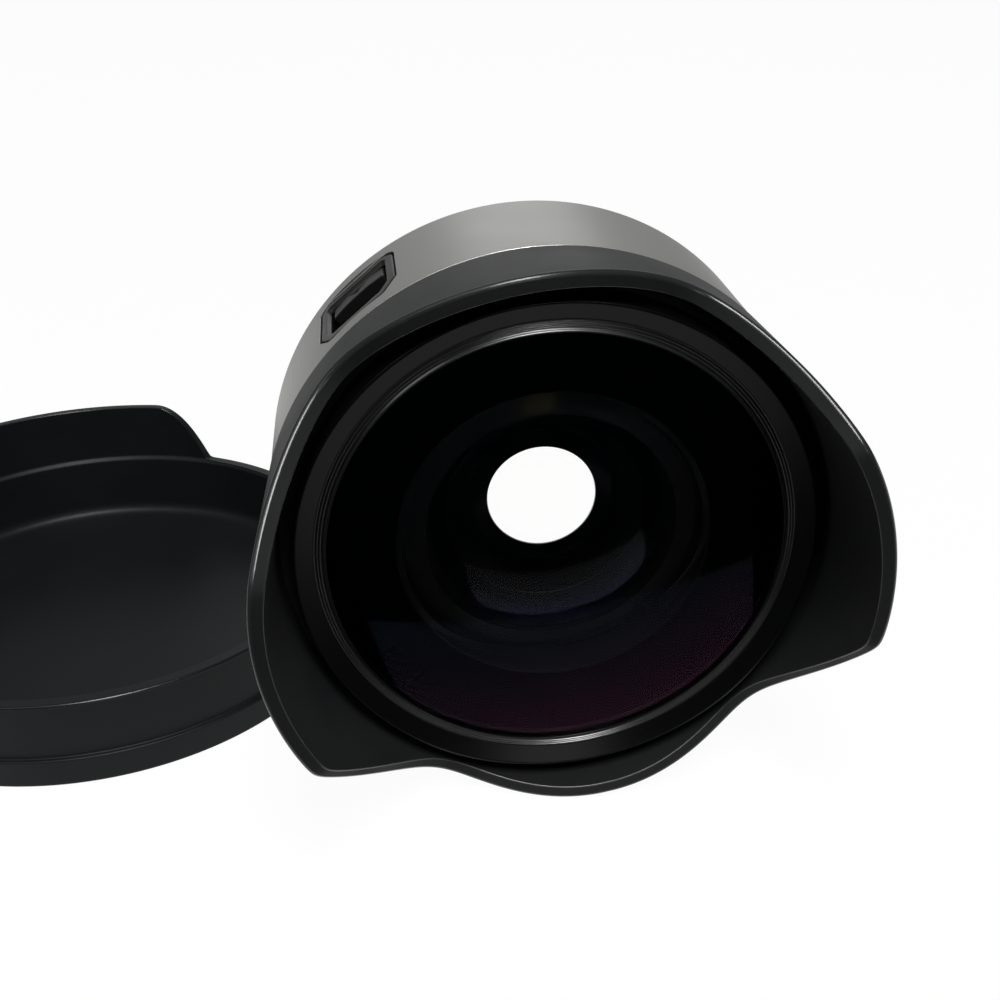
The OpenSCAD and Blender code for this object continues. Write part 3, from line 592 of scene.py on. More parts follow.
def fine_grain():
    """Group: a fine noise gives a height, and a slow noise gives a tone about 1."""
    if "fine_grain" in bpy.data.node_groups:
        return bpy.data.node_groups["fine_grain"]
    group, add, given = new_group("fine_grain", {"Scale": 4000.0, "Slow Scale": 120.0, "Spread": 0.1},
                                  ("Height", "Tone"))
    fine = add("ShaderNodeTexNoise", Vector=given["Vector"], Scale=given["Scale"], Detail=2.0)
    slow = add("ShaderNodeTexNoise", Vector=given["Vector"], Scale=given["Slow Scale"], Detail=3.0)
    low = add("ShaderNodeMath", {"operation": "SUBTRACT"}, _0=1.0, _1=given["Spread"])
    high = add("ShaderNodeMath", {"operation": "ADD"}, _0=1.0, _1=given["Spread"])
    tone = add("ShaderNodeMapRange", Value=slow.outputs["Fac"], From_Min=0.3, From_Max=0.7,
               To_Min=low.outputs[0], To_Max=high.outputs[0])
    add("NodeGroupOutput", Height=fine.outputs["Fac"], Tone=tone.outputs["Result"])
    return group


def cut_edge_and_painted_highlight():
    """Group: the edge mark times a broken noise; on the barrel it is bright cut metal, on the bezel's crests a painted
    highlight.
    """
    if "cut_edge_and_painted_highlight" in bpy.data.node_groups:
        return bpy.data.node_groups["cut_edge_and_painted_highlight"]
    group, add, given = new_group("cut_edge_and_painted_highlight", {"Edge": 0.0, "Scale": 1500.0, "Least": 0.5}, ("Mask",))
    broken = add("ShaderNodeTexNoise", Vector=given["Vector"], Scale=given["Scale"], Detail=3.0)
    part = add("ShaderNodeMapRange", Value=broken.outputs["Fac"], From_Min=0.35, From_Max=0.65,
               To_Min=given["Least"], To_Max=1.0)
    mask = add("ShaderNodeMath", {"operation": "MULTIPLY", "use_clamp": True}, _0=part.outputs["Result"],
               _1=given["Edge"])
    add("NodeGroupOutput", Mask=mask.outputs[0])
    return group


def plain_finish(name, base, rough, metallic=0.0, level=0.5, grain=4000.0, bump=0.1, spread=0.08, edge=None,
                 least=0.7):
    """Principled finish: the grain group sets tone, roughness and bump, and the edge group mixes in an edge look.

    edge is (colour, roughness) for the part where the edge mark is 1; on the bezel's band that colour is a painted
    highlight on the ridge crests.
    """
    if name in bpy.data.materials:
        return bpy.data.materials[name]
    material, add = new_material(name)
    place = add("ShaderNodeTexCoord")
    texture = add("ShaderNodeGroup", {"node_tree": fine_grain()}, Vector=place.outputs["Object"], Scale=grain,
                  Spread=spread)
    tinted = add("ShaderNodeMix", {"data_type": "RGBA", "blend_type": "MULTIPLY"}, _0=1.0, _6=(*base, 1.0),
                 _7=texture.outputs["Tone"])
    roughness = add("ShaderNodeMath", {"operation": "MULTIPLY", "use_clamp": True}, _0=texture.outputs["Tone"],
                    _1=rough)
    skin, sheen = tinted.outputs[2], roughness.outputs[0]
    if edge:
        mark = add("ShaderNodeAttribute", {"attribute_name": "edge"})
        rubbed = add("ShaderNodeGroup", {"node_tree": cut_edge_and_painted_highlight()}, Vector=place.outputs["Object"],
                     Edge=mark.outputs["Fac"], Least=least)
        skin = add("ShaderNodeMix", {"data_type": "RGBA"}, _0=rubbed.outputs["Mask"], _6=skin,
                   _7=(*edge[0], 1.0)).outputs[2]
        sheen = add("ShaderNodeMix", _0=rubbed.outputs["Mask"], _2=sheen, _3=edge[1]).outputs[0]
    relief = add("ShaderNodeBump", Strength=bump, Distance=0.02 * MM, Height=texture.outputs["Height"])
    shader = add("ShaderNodeBsdfPrincipled", Base_Color=skin, Roughness=sheen, Metallic=metallic,
                 Specular_IOR_Level=level, Normal=relief.outputs["Normal"])
    add("ShaderNodeOutputMaterial", Surface=shader.outputs[0])
    material.diffuse_color = (*base, 1.0)
    return material


def coated_glass(name, f, index, coat, slant, span=FRONT_SPAN):
    """Clear glass with a thin film over it. Its reflections turn from the coat's tint to the slant tint over span."""
    if name in bpy.data.materials:
        return bpy.data.materials[name]
    material, add = new_material(name)
    facing = add("ShaderNodeLayerWeight", Blend=0.5)
    part = add("ShaderNodeMapRange", Value=facing.outputs["Facing"], From_Min=span[0], From_Max=span[1])
    tint = add("ShaderNodeMix", {"data_type": "RGBA"}, _0=part.outputs["Result"], _6=(*coat, 1.0), _7=(*slant, 1.0))
    shader = add("ShaderNodeBsdfPrincipled", Base_Color=(1.0, 1.0, 1.0, 1.0), Roughness=0.0, IOR=index,
                 Transmission_Weight=1.0, Specular_Tint=tint.outputs[2], Thin_Film_Thickness=f.film,
                 Thin_Film_IOR=f.film_index)
    add("ShaderNodeOutputMaterial", Surface=shader.outputs[0])
    return material


def silver(f):
    return plain_finish("skin_blasted_silver", f.silver, f.silver_rough, 1.0, grain=5200.0, bump=0.3, spread=0.05,
                        edge=(f.silver_edge, 0.24), least=0.45)


def hood_black(f):
    return plain_finish("skin_satin_hood", f.hood, f.hood_rough, level=0.16, grain=5200.0, bump=0.12)


def rim_edge(f):
    return plain_finish("skin_rim_edge", f.hood, f.rim_rough, level=0.4, bump=0.05)


def hood_inside(f):
    return plain_finish("skin_hood_inside", f.hood_inside, 0.75, level=0.25, grain=5200.0, bump=0.12)


def bezel_black(f):
    return plain_finish("skin_turned_bezel", f.bezel, f.bezel_rough, level=0.13, bump=0.05, spread=0.05)


# The band's crests take the lighter band crest colour through the edge mark: a painted highlight on the fine ridges.
def bezel_band(f):
    return plain_finish("skin_bezel_band", f.bezel, f.band_rough, level=1.0, bump=0.03, spread=0.05,
                        edge=(f.band_edge, f.band_rough), least=0.8)


def edge_paint(f):
    return plain_finish("skin_edge_paint", f.paint, 0.7, level=0.1, bump=0.1)


def mount_black(f):
    return plain_finish("skin_mount", f.mount, 0.38, level=0.5, bump=0.08)


def steel(f):
    return plain_finish("skin_steel", f.steel, 0.28, 1.0, bump=0.04, spread=0.05)


def release_plastic(f):
    return plain_finish("skin_release", f.plastic, 0.45, level=0.3, grain=3500.0, bump=0.14)


# The darker release finish is painted shade on the pocket, the knob's front slope and its sunk mark.
def release_painted_shade(f):
    return plain_finish("skin_release_painted_shade", f.plastic_painted_shade, 0.6, level=0.06, bump=0.1)


def cap_plastic(f):
    return plain_finish("skin_cap", f.cap, f.cap_rough, level=0.13, grain=3800.0, bump=0.12)


def cap_edge(f):
    return plain_finish("skin_cap_edge", f.cap, 0.25, level=0.35, bump=0.05)


def rubber(f):
    return plain_finish("skin_rubber", f.rubber, 0.6, bump=0.1)


# Pieces

def barrel_profile(p):
    """Closed corners of the barrel's section: rear lip, two chamfered ends and the bore."""
    bore = BARREL_R - p.wall
    return np.array([[bore - p.lip_depth, BARREL_REAR], [BARREL_R - p.chamfer, BARREL_REAR],
                     [BARREL_R, BARREL_REAR + p.chamfer], [BARREL_R, SEAM - p.chamfer],
                     [BARREL_R - p.chamfer, SEAM], [bore, SEAM], [bore, BARREL_REAR + p.lip],
                     [bore - p.lip_depth, BARREL_REAR + p.lip]])


def cut_corners(half, rear, front, rear_cut, front_cut_w, front_cut):
    """Corners (across, station) of a box with its two rear and two front corners cut."""
    side = np.array([[half - rear_cut, rear], [half, rear + rear_cut], [half, front - front_cut],
                     [half - front_cut_w, front]])
    return np.concatenate([side, side[::-1] * (-1, 1)])


def window_corners(p, grow=0.0):
    """Corners of the release window, grown outwards."""
    rear = BARREL_REAR + p.inset
    return cut_corners(p.width / 2 + grow, rear - grow, rear + p.long + grow, p.rear_cut, p.front_cut_w, p.front_cut)


def pocket_corners(p, shrink=0.0):
    """Corners of the pocket in the frame, shrunk inwards."""
    rear = BARREL_REAR + p.inset
    return cut_corners(p.width / 2 - p.border - shrink, rear + p.rear_border + shrink,
                       rear + p.long - p.front_border - shrink, p.rear_cut / 4, p.front_cut_w / 2, p.front_cut / 2)


def spun(angle, x, y, s):
    """Point (x, -s, y) turned about the axis by an angle."""
    x, y, s = np.broadcast_arrays(x, y, s)
    return np.stack([x * np.cos(angle) - y * np.sin(angle), -s, x * np.sin(angle) + y * np.cos(angle)], -1)


def at_window(p, roll, across_line, outward, station):
    """Point at the window: across the barrel, outward from the axis, and at a station."""
    return spun(p.angle + roll, across_line, outward, station)


def skin_height(radius, across_line):
    """Height of a barrel's skin over a line across it: sqrt(radius^2 - across^2)."""
    return np.sqrt(radius ** 2 - across_line ** 2)


def make_barrel(scene):
    """Barrel: a turned section with the window carved through one side."""
    p, r = scene.lens_barrel, scene.lens_release
    corners = barrel_profile(p)
    front_chamfer = (3, 4)
    marks = arc_marks(len(corners), front_chamfer)
    shell = turned(rounded(corners, p.edge), steps=480, edge=marks)
    piece = make_piece("silver_barrel", [shell], [silver(scene.lens_finish)], "lens",
                       ["barrel_shell"])
    rings = []
    wide = p.window_gap + 2 * p.window_break
    for grow, height in ((p.window_gap, BARREL_R - 2 * p.wall), (p.window_gap, None), (wide, None),
                         (wide, BARREL_R + p.wall)):
        line = rounded(window_corners(r, grow), r.corner + grow)
        lift = p.window_break if grow == wide else -p.window_break
        outward = skin_height(BARREL_R, line[:, 0]) + lift if height is None else height
        rings.append(at_window(r, scene.lens_hood.roll, line[:, 0], outward, line[:, 1]))
    carve(piece, stacked(rings))


def hood_rim(p, angle):
    """Station of the hood's rim at an angle from a long petal's middle.

    The angle is folded to one quarter. The rim is the larger of a flat end falling along a straight flank and a
    crowned short petal, each blended.
    """
    arc = BARREL_R + p.step
    folded = np.mod(angle, np.pi)
    folded = np.minimum(folded, np.pi - folded)
    long_end = SEAM + p.long_len
    flank = long_end - np.tan(p.flank) * arc * (folded - p.long_half)
    crown = SEAM + p.short_len - (arc * (np.pi / 2 - folded)) ** 2 / (2 * p.crown)
    return smooth_max(smooth_min(long_end, flank, p.corner), crown, p.valley)


def make_hood(scene):
    """Hood: at each angle a closed section that reaches the rim's station there, flaring forward.

    Corners 3 and 4 are the rim's. Skin 0 is the outside, 1 the rim's face and the inside, and 2 the rim's two arcs.
    """
    p = scene.lens_hood
    steps = 720
    rim = hood_rim(p, full_turn(steps) - p.roll)
    slope = np.tan(p.flare)
    outer = BARREL_R + p.step
    inner = outer - p.wall
    corners = all_round(
        steps, (p.bore, SEAM), (outer - p.seam_drop, SEAM),
        (outer + p.seam_bevel * slope, SEAM + p.seam_bevel), (outer + (rim - SEAM) * slope, rim),
        (inner + (rim - SEAM) * slope, rim), (inner + (HOOD_FLOOR - SEAM) * slope, HOOD_FLOOR),
        (p.collar, HOOD_FLOOR), (p.collar, SEAM + p.foot), (p.bore, SEAM + p.foot))
    radii = np.full(corners.shape[1], FINE_EDGE)
    radii[3:6] = p.edge, p.inner_edge, 2 * FINE_EDGE
    skins = np.zeros((len(radii), ARC_STEPS + 3), int)
    skins[3, -2:] = skins[4:] = 1
    skins[3:5, 1:-2] = 2
    shell = turned(rounded(corners, radii), steps, finish=skins.reshape(-1))
    f = scene.lens_finish
    make_piece("petal_hood_shell", [shell], [hood_black(f), hood_inside(f), rim_edge(f)], "lens",
               ["petal_hood"])


def make_bezel(scene):
    """Bezel: a turned section with a cone outside, a band of fine round ridges and a beaded lip over the glass.

    Along the band the depth is (1 + cos 2 pi u) / 2 with u in steps of the pitch from the first groove; towards the
    lip the wave is twice as long.
    """
    p = scene.lens_bezel
    foot = BEZEL_TOP - p.rise
    lip_top = foot + p.fall
    first = p.lip_r + p.groove_inset
    cone = first + (p.groove_count - 1) * p.groove_pitch + p.groove_w
    corners = np.array([[p.lip_r, lip_top], [p.lip_r, lip_top - p.lip], [cone, foot - p.lip],
                        [p.skirt_r, foot - p.lip], [p.skirt_r, HOOD_FLOOR], [BEZEL_R, HOOD_FLOOR],
                        [BEZEL_R, BEZEL_TOP], [cone + p.groove_w, foot + p.rise * p.groove_w / (BEZEL_R - cone)]])
    radii = np.full(len(corners), p.edge)
    radii[0], radii[-2] = p.lip_edge, p.rim_edge
    line = rounded(corners, radii)
    wave_steps = 24
    u = np.linspace(p.groove_count - 0.5, -1, wave_steps * p.groove_count + wave_steps // 2 + 1)
    wave = (1 + np.cos(np.where(u < 0, np.pi, 2 * np.pi) * u)) / 2
    r = first + u * p.groove_pitch
    band = lip_top - p.fall * (r - p.lip_r) / (cone - p.lip_r)
    plain = np.zeros(len(line))
    # Marks are 1 on the crests, where the wave is 0: they carry the painted highlight of the band crest colour.
    marks = np.concatenate([plain, (1 - wave) ** 2])
    skins = np.concatenate([plain, np.ones(len(r))])
    line = np.concatenate([line, np.stack([r, band - p.groove_d * wave], -1)])
    shell = turned(line, steps=512, edge=marks, finish=skins)
    f = scene.lens_finish
    make_piece("bezel_shell", [shell], [bezel_black(f), bezel_band(f)], "lens", ["bezel_ring"])


def glass_section(front, rear, edge_r, front_rim, rear_rim, bevel):
    """Open section of a glass from the front of its axis round to the rear, and the skin of each part of it.

    front and rear give the station at a radius; the faces run to front_rim and rear_rim, flats run on to the edge.
    Skin 0 is the front face, 1 the painted edge and 2 the rear face.
    """
    steps = 72
    r = np.linspace(0, front_rim, steps)
    face = np.stack([r, front(r)], -1)
    r = np.linspace(rear_rim, 0, steps)
    back = np.stack([r, rear(r)], -1)
    top, low = front(front_rim), rear(rear_rim)
    flat = 0.02 * MM
    rim = np.array([[max(front_rim + flat, edge_r - bevel), top], [edge_r, top - bevel], [edge_r, low + bevel],
                    [max(rear_rim + flat, edge_r - bevel), low]])
    line = np.concatenate([face, rim, back])
    skins = np.zeros(len(line) - 1, int)
    skins[len(face) - 1:] = 1
    skins[len(face) + len(rim):] = 2
    return line, skins


def make_glass(scene):
    """Four glasses: each is a turned section of two spheres, with painted edges."""
    p, f = scene.lens_glass, scene.lens_finish
    hollow_s = FRONT_REAR + sag(p.front_r2, p.front_hollow)
    second_rim, second_back = SECOND_R - p.second_front_rim, SECOND_R - p.second_rear_rim
    second_apex = SECOND_SEAT - sag(p.second_r1, second_rim)
    second_hollow = SECOND_REAR + sag(p.second_r2, second_back)
    cement_s = THIRD_REAR - p.cement
    front_rim = FRONT_R - 0.03 * MM
    pair_rim = PAIR_R - 0.2 * MM
    front, hollow = (f.front_coat, f.front_slant), (f.hollow_coat, f.hollow_slant, HOLLOW_SPAN)
    inner = (f.inner_coat, f.inner_coat)
    rows = [
        ("front_glass", "front_element", "front_glass", front, hollow, f.front_index, FRONT_R,
         lambda r: FRONT_APEX - sag(p.front_r1, r), lambda r: hollow_s - sag(p.front_r2, r),
         front_rim, p.front_hollow),
        ("second_glass", "second_element", "inner_glass", inner, inner, f.front_index, SECOND_R,
         lambda r: second_apex + sag(p.second_r1, r), lambda r: second_hollow - sag(p.second_r2, r),
         second_rim, second_back),
        ("third_glass", "third_element", "inner_glass", inner, inner, f.inner_index, PAIR_R,
         lambda r: THIRD_APEX - sag(p.third_r1, r), lambda r: THIRD_REAR + sag(p.cement_r, r),
         pair_rim, pair_rim),
        ("fourth_glass", "fourth_element", "inner_glass", inner, inner, f.inner_index, PAIR_R,
         lambda r: cement_s + sag(p.cement_r, r), lambda r: FOURTH_REAR + sag(p.fourth_r2, r),
         pair_rim, pair_rim),
    ]
    for name, node, slot, before, behind, index, edge_r, face, back, face_rim, back_rim in rows:
        line, skins = glass_section(face, back, edge_r, face_rim, back_rim, p.edge)
        shell = turned(line, steps=256, finish=skins, closed=False)
        finishes = [coated_glass(f"skin_{name}_front", f, index, *before), edge_paint(f),
                    coated_glass(f"skin_{name}_rear", f, index, *behind)]
        make_piece(name, [shell], finishes, "lens", [node])


def make_release(scene):
    """Release: a lofted frame, a sloped knob with its mark, and the coil spring."""
    p, f, roll = scene.lens_release, scene.lens_finish, scene.lens_hood.roll
    make_frame(p, f, roll)
    make_knob(p, f, roll)
    make_spring(p, f, roll)


def make_frame(p, f, roll):
    """Frame: outlines lofted from the window's edge over the border, down a bevel and into the pocket.

    Each row is the share of the way from the window to the pocket and the drop in millimetres; below them, each pair
    is the inset of the pocket's outline and its height over the floor.
    """
    top = BARREL_R - p.sink
    floor = BARREL_R - p.pocket
    window, pocket = window_corners(p), pocket_corners(p)
    foot = p.bevel / MM
    rings = []
    rows = ((0.0, -1.9), (0.0, -0.5), (0.0, -0.18), (0.03, -0.07), (0.09, -0.015), (0.16, 0.0), (0.24, 0.0),
            (0.62, 0.0), (0.68, -0.01), (0.74, -0.06), (0.96, -foot), (1.0, -foot - 0.07), (1.0, -foot - 0.2))
    for part, drop in rows:
        line = rounded(window * (1 - part) + pocket * part, p.corner * (1 - part) + p.pocket_corner * part)
        rings.append(at_window(p, roll, line[:, 0], skin_height(top, line[:, 0]) + drop * MM, line[:, 1]))
    for shrink, lift in ((0.0, 0.3), (0.0, 0.12), (0.04, 0.03), (0.12, 0.0), (0.2, 0.0)):
        line = rounded(pocket_corners(p, shrink * MM), p.pocket_corner)
        rings.append(at_window(p, roll, line[:, 0], floor + lift * MM, line[:, 1]))
    # Rings past the bevel, the pocket's walls and floor, take the second and darker finish: painted shade in the
    # pocket.
    border_rings = len(rows) - 3
    skins = np.repeat(np.arange(len(rings) - 1) >= border_rings, len(line))
    make_piece("release_frame", [stacked(rings, finish=skins)], [release_plastic(f), release_painted_shade(f)], "lens",
               ["release_bezel"])


def make_knob(p, f, roll):
    """Knob: a height over a grid, with a crowned top, a sloped front, rounded edges and a sunk triangle.

    The height is the smaller of the crown and the slope, less the rounding near the borders and the mark's depth.
    """
    half = p.width / 2 - p.border - p.gap
    rear = BARREL_REAR + p.inset + p.border + p.gap
    low = BARREL_R - p.pocket + p.gap
    front = rear + p.knob_len
    blend, mark_blend, thin, mark_share = 0.12 * MM, 0.1 * MM, 0.05 * MM, 0.52
    stem_edge, overlap = 0.15 * MM, 0.02 * MM
    columns, rows = 97, 65
    x = np.linspace(-half, half, columns)[None, :]
    s = np.linspace(rear, front, rows)[:, None]
    crown = skin_height(BARREL_R - p.knob_sink, x)
    foot = low + p.knob_sink
    slope = foot + (front - s) * (BARREL_R - foot) / p.knob_slope
    height = smooth_min(crown, slope, blend)
    border = np.minimum(np.minimum(x + half, half - x), s - rear)
    near = np.clip(p.knob_edge - border, 0, p.knob_edge)
    height = height - (p.knob_edge - np.sqrt(p.knob_edge ** 2 - near ** 2))
    middle = rear + (p.knob_len - p.knob_slope) * mark_share
    tip = middle + p.mark_len / 2
    across_half = p.mark_w / 2
    side = (tip - s) * across_half / p.mark_len - np.abs(x)
    inside = np.minimum(side * p.mark_len / np.hypot(p.mark_len, across_half), s - (middle - p.mark_len / 2))
    height = height - p.mark_d * ease(inside / mark_blend + 0.5)
    x, s = np.broadcast_arrays(x, s)
    upper = at_window(p, roll, x, np.maximum(height, low + thin), s).reshape(-1, 3)
    lower = at_window(p, roll, x, np.full_like(x, low), s).reshape(-1, 3)
    faces = grid(rows, columns, False, False)
    count = rows * columns
    index = np.arange(count).reshape(rows, columns)
    loop = np.concatenate([index[0, :-1], index[:-1, -1], index[-1, :0:-1], index[:0:-1, 0]])
    after = np.roll(loop, -1)
    walls = np.stack([loop, after, after + count, loop + count], -1)
    # The front slope and the sunk mark, with the knob's underside and sides, take the second and darker finish:
    # painted shade.
    painted_shade_faces = np.broadcast_to((slope < crown) | (inside > 0), x.shape)[:-1, :-1].reshape(-1)
    skins = np.concatenate([painted_shade_faces, np.ones(len(faces) + len(walls), bool)])
    faces = np.concatenate([faces, faces[:, ::-1] + count, walls])
    knob = Shell(np.concatenate([upper, lower]), faces, finish=skins)
    stem_rear = rear + p.stem_rear
    plan = rounded(rectangle(-p.stem_w / 2, p.stem_w / 2, stem_rear, stem_rear + p.stem_len), stem_edge)
    stem = stacked([at_window(p, roll, plan[:, 0], np.full(len(plan), y), plan[:, 1])
                    for y in (p.stem_floor, low + overlap)])
    make_piece("release_knob", [knob, stem], [release_plastic(f), release_painted_shade(f)], "release",
               ["release_slider"])


def make_spring(p, f, roll):
    """Spring: a round wire carried along a helix whose first and last curls lie close."""
    curl_steps, sides, even = 40, 14, 0.35
    t = np.linspace(0, 1, p.curls * curl_steps + 1)
    wind = 2 * np.pi * p.curls * t
    rear, front = SPRING_REAR + p.wire_r, SPRING_FRONT - p.wire_r
    station = rear + (front - rear) * (even * t + (1 - even) * ease(t))
    b = full_turn(sides)[None, :]
    reach = p.spring_r + p.wire_r * np.cos(b)
    x = np.cos(wind)[:, None] * reach
    y = np.sin(wind)[:, None] * reach + p.pin_ring
    s = station[:, None] + p.wire_r * np.sin(b)
    piece = make_piece("release_spring", [stacked(at_window(p, roll, x, y, s))], [steel(f)], "lens",
                       ["lock_spring"])
    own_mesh(piece)


def make_mount(scene):
    """Rear ring, its lugs, the rear plate and the cross-slot screws."""
    p, f = scene.lens_mount, scene.lens_finish
    make_mount_ring(scene, p, f)
    bevel, plate_edge = (MOUNT_FRONT - MOUNT_FLOOR) / 2, 0.08 * MM
    plate = rounded([[p.aperture, MOUNT_FLOOR + bevel], [p.aperture + bevel, MOUNT_FLOOR], [SHIELD_R, MOUNT_FLOOR],
                     [SHIELD_R, MOUNT_FRONT], [p.aperture, MOUNT_FRONT]], plate_edge)
    make_piece("rear_plate", [turned(plate, steps=256)], [mount_black(f)], "lens", ["rear_shield"])
    make_screws(scene, p, f)


def make_mount_ring(scene, p, f):
    """Ring: a turned section with an undercut, three lugs swept along arcs, and a hole for the lock pin.

    A lug's inner face falls away towards its ends, where q is 1, by lug_edge (1 - sqrt(1 - q^square)).
    """
    roll, release = scene.lens_hood.roll, scene.lens_release
    deep = p.socket_r + p.undercut
    seat = SHIELD_R + p.seat_gap
    corners = [[p.socket_r, 0], [p.rim_r, 0], [p.rim_r, MOUNT_FLOOR], [MOUNT_R, MOUNT_FLOOR], [MOUNT_R, MOUNT_FRONT],
               [seat, MOUNT_FRONT], [seat, MOUNT_FLOOR], [deep, MOUNT_FLOOR], [deep, p.socket], [p.socket_r, p.socket]]
    shells = [turned(rounded(corners, p.edge), steps=384)]
    start = p.socket + p.lug_gap
    lug_root, lug_edge, slack, square = 0.4 * MM, 0.2 * MM, 0.02, 24
    inner, outer = p.socket_r - p.lug_depth, deep + lug_root
    plan = rounded(rectangle(inner, outer, start, start + p.lug_t), lug_edge)
    lug_rings = 49
    t = np.linspace(0, 1, lug_rings)[:, None]
    q = np.abs(2 * t - 1) * (1 + slack) - slack
    radius = np.maximum(plan[:, 0], inner + lug_edge * (1 - np.sqrt(np.clip(1 - q ** square, 0, 1))))
    for number in range(p.lug_count):
        first = roll + release.angle + p.lug_turn + number * 2 * np.pi / p.lug_count
        shells.append(stacked(round_the_axis(radius, first + p.lug_arc * t, plan[:, 1])))
    piece = make_piece("rear_bayonet", shells, [mount_black(f)], "lens", ["mount_ring"])
    hole_steps, hole = 40, release.pin_r + release.pin_gap
    b = full_turn(hole_steps)
    rings = [at_window(release, roll, hole * np.cos(b), release.pin_ring + hole * np.sin(b), np.full(len(b), s))
             for s in (MOUNT_FLOOR - MM, MOUNT_FRONT + MM)]
    carve(piece, stacked(rings))


def make_screws(scene, p, f):
    """Screws: a height over rings and spokes, domed, with a sunk cross, closed by a turned shank."""
    rings, spokes = 40, 96
    part = np.linspace(0, 1, rings)[:, None]
    b = full_turn(spokes)[None, :]
    radius = p.screw_head * part
    x, y = radius * np.cos(b), radius * np.sin(b)
    crown, fall, least = 0.3, 0.6, 0.05
    dome = p.screw_head_h * np.sqrt(np.clip(1 - crown * part ** 2 - fall * part ** 12, least, 1))
    arm, soft, slot_depth = 1.5 * p.slot_w, 0.06 * MM, p.screw_head_h / 2
    cross = np.maximum(np.minimum(p.slot_w / 2 - np.abs(x), arm - np.abs(y)),
                       np.minimum(p.slot_w / 2 - np.abs(y), arm - np.abs(x)))
    height = dome - slot_depth * ease(cross / soft + 0.5)
    lines = [(x, y, MOUNT_FLOOR - height)]
    for reach, depth in ((p.screw_head, 0.0), (p.screw_r, 0.0), (p.screw_r, MOUNT_FRONT - MOUNT_FLOOR + p.screw_len)):
        lines.append((reach * np.cos(b), reach * np.sin(b), np.full_like(b, MOUNT_FLOOR + depth)))
    x, y, s = (np.concatenate([line[axis] for line in lines]) for axis in range(3))
    shells = []
    for number in range(p.screw_count):
        angle = (scene.lens_hood.roll + scene.lens_release.angle + p.screw_turn
                 + number * 2 * np.pi / p.screw_count + np.pi / 2)
        points = spun(angle, x + p.screw_ring, y, s)
        rows = len(points)
        caps = [np.arange(spokes) + (rows - 1) * spokes]
        shells.append(Shell(points, grid(rows, spokes, False, True), caps))
    make_piece("rear_screws", shells, [steel(f)], "lens", ["mount_screws"])


def make_cap(scene):
    """Cap: at each angle a section from the underside's middle round the wall to the floor's middle.

    The rim's height falls from the tall tab by a power of the angle and blends into the low rim. Skin 1 is the arcs
    of the rim's two edges.
    """
    p = scene.lens_cap
    steps = 480
    angle = full_turn(steps)
    away = np.abs(np.mod(angle - p.tab_angle + np.pi, 2 * np.pi) - np.pi)
    fall = np.maximum(0, (away - p.tab_half) / p.tab_fall) ** p.tab_round
    rim = smooth_max(CAP_TALL - (CAP_TALL - p.low_h) * fall, p.low_h, p.tab_foot)
    outer = CAP_BAND_R - p.band_step
    inner = outer - p.wall
    ledge = np.minimum(p.ledge, rim - p.ledge_h - FINE_EDGE)
    corners = all_round(
        steps, (0, 0), (CAP_BAND_R, 0), (CAP_BAND_R, p.band_h), (outer, p.band_h), (outer, rim), (inner + ledge, rim),
        (inner + ledge, p.ledge_h + ledge), (inner, p.ledge_h), (inner, p.base), (0, p.base))
    radii = [FINE_EDGE, p.band_edge, p.band_edge, 2 * FINE_EDGE, p.edge, p.edge / 2, p.ledge, p.ledge, p.fillet,
             FINE_EDGE]
    line = rounded(corners, radii, steps=6)
    each = line.shape[1] // len(radii)
    line = np.concatenate([corners[:, :1], line[:, each:-each], corners[:, -1:]], axis=1)
    points = np.stack([CAP_X + line[..., 0] * np.cos(angle)[:, None], CAP_Y + line[..., 0] * np.sin(angle)[:, None],
                       TABLE_Z + line[..., 1]], -1)
    width = line.shape[1]
    skins = np.zeros(width - 1, int)
    rim_corners = (4, 5)
    for edge in rim_corners:
        skins[(edge - 1) * each + 2:edge * each - 1] = 1
    shell = Shell(points, grid(steps, width, True, False), finish=np.tile(skins, steps))
    f = scene.lens_finish
    make_piece("push_on_cap", [shell], [cap_plastic(f), cap_edge(f)], "cap", ["front_cap"])


INNER_FINISHES = {
    "lens_housing": edge_paint, "front_seal": rubber, "front_spacer": edge_paint, "element_spacer": edge_paint,
    "rear_cell": edge_paint, "rear_retaining_ring": edge_paint, "hood_dowel": steel, "lock_pin": steel,
    "spring_rod": steel, "guide_plate": edge_paint, "guide_screws": steel,
}


def finish_inner(scene):
    """Gives each CAD piece that shows as it is its own finish."""
    for node, maker in INNER_FINISHES.items():
        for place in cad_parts[node].material_slots:
            place.material = maker(scene.lens_finish)


# Stage

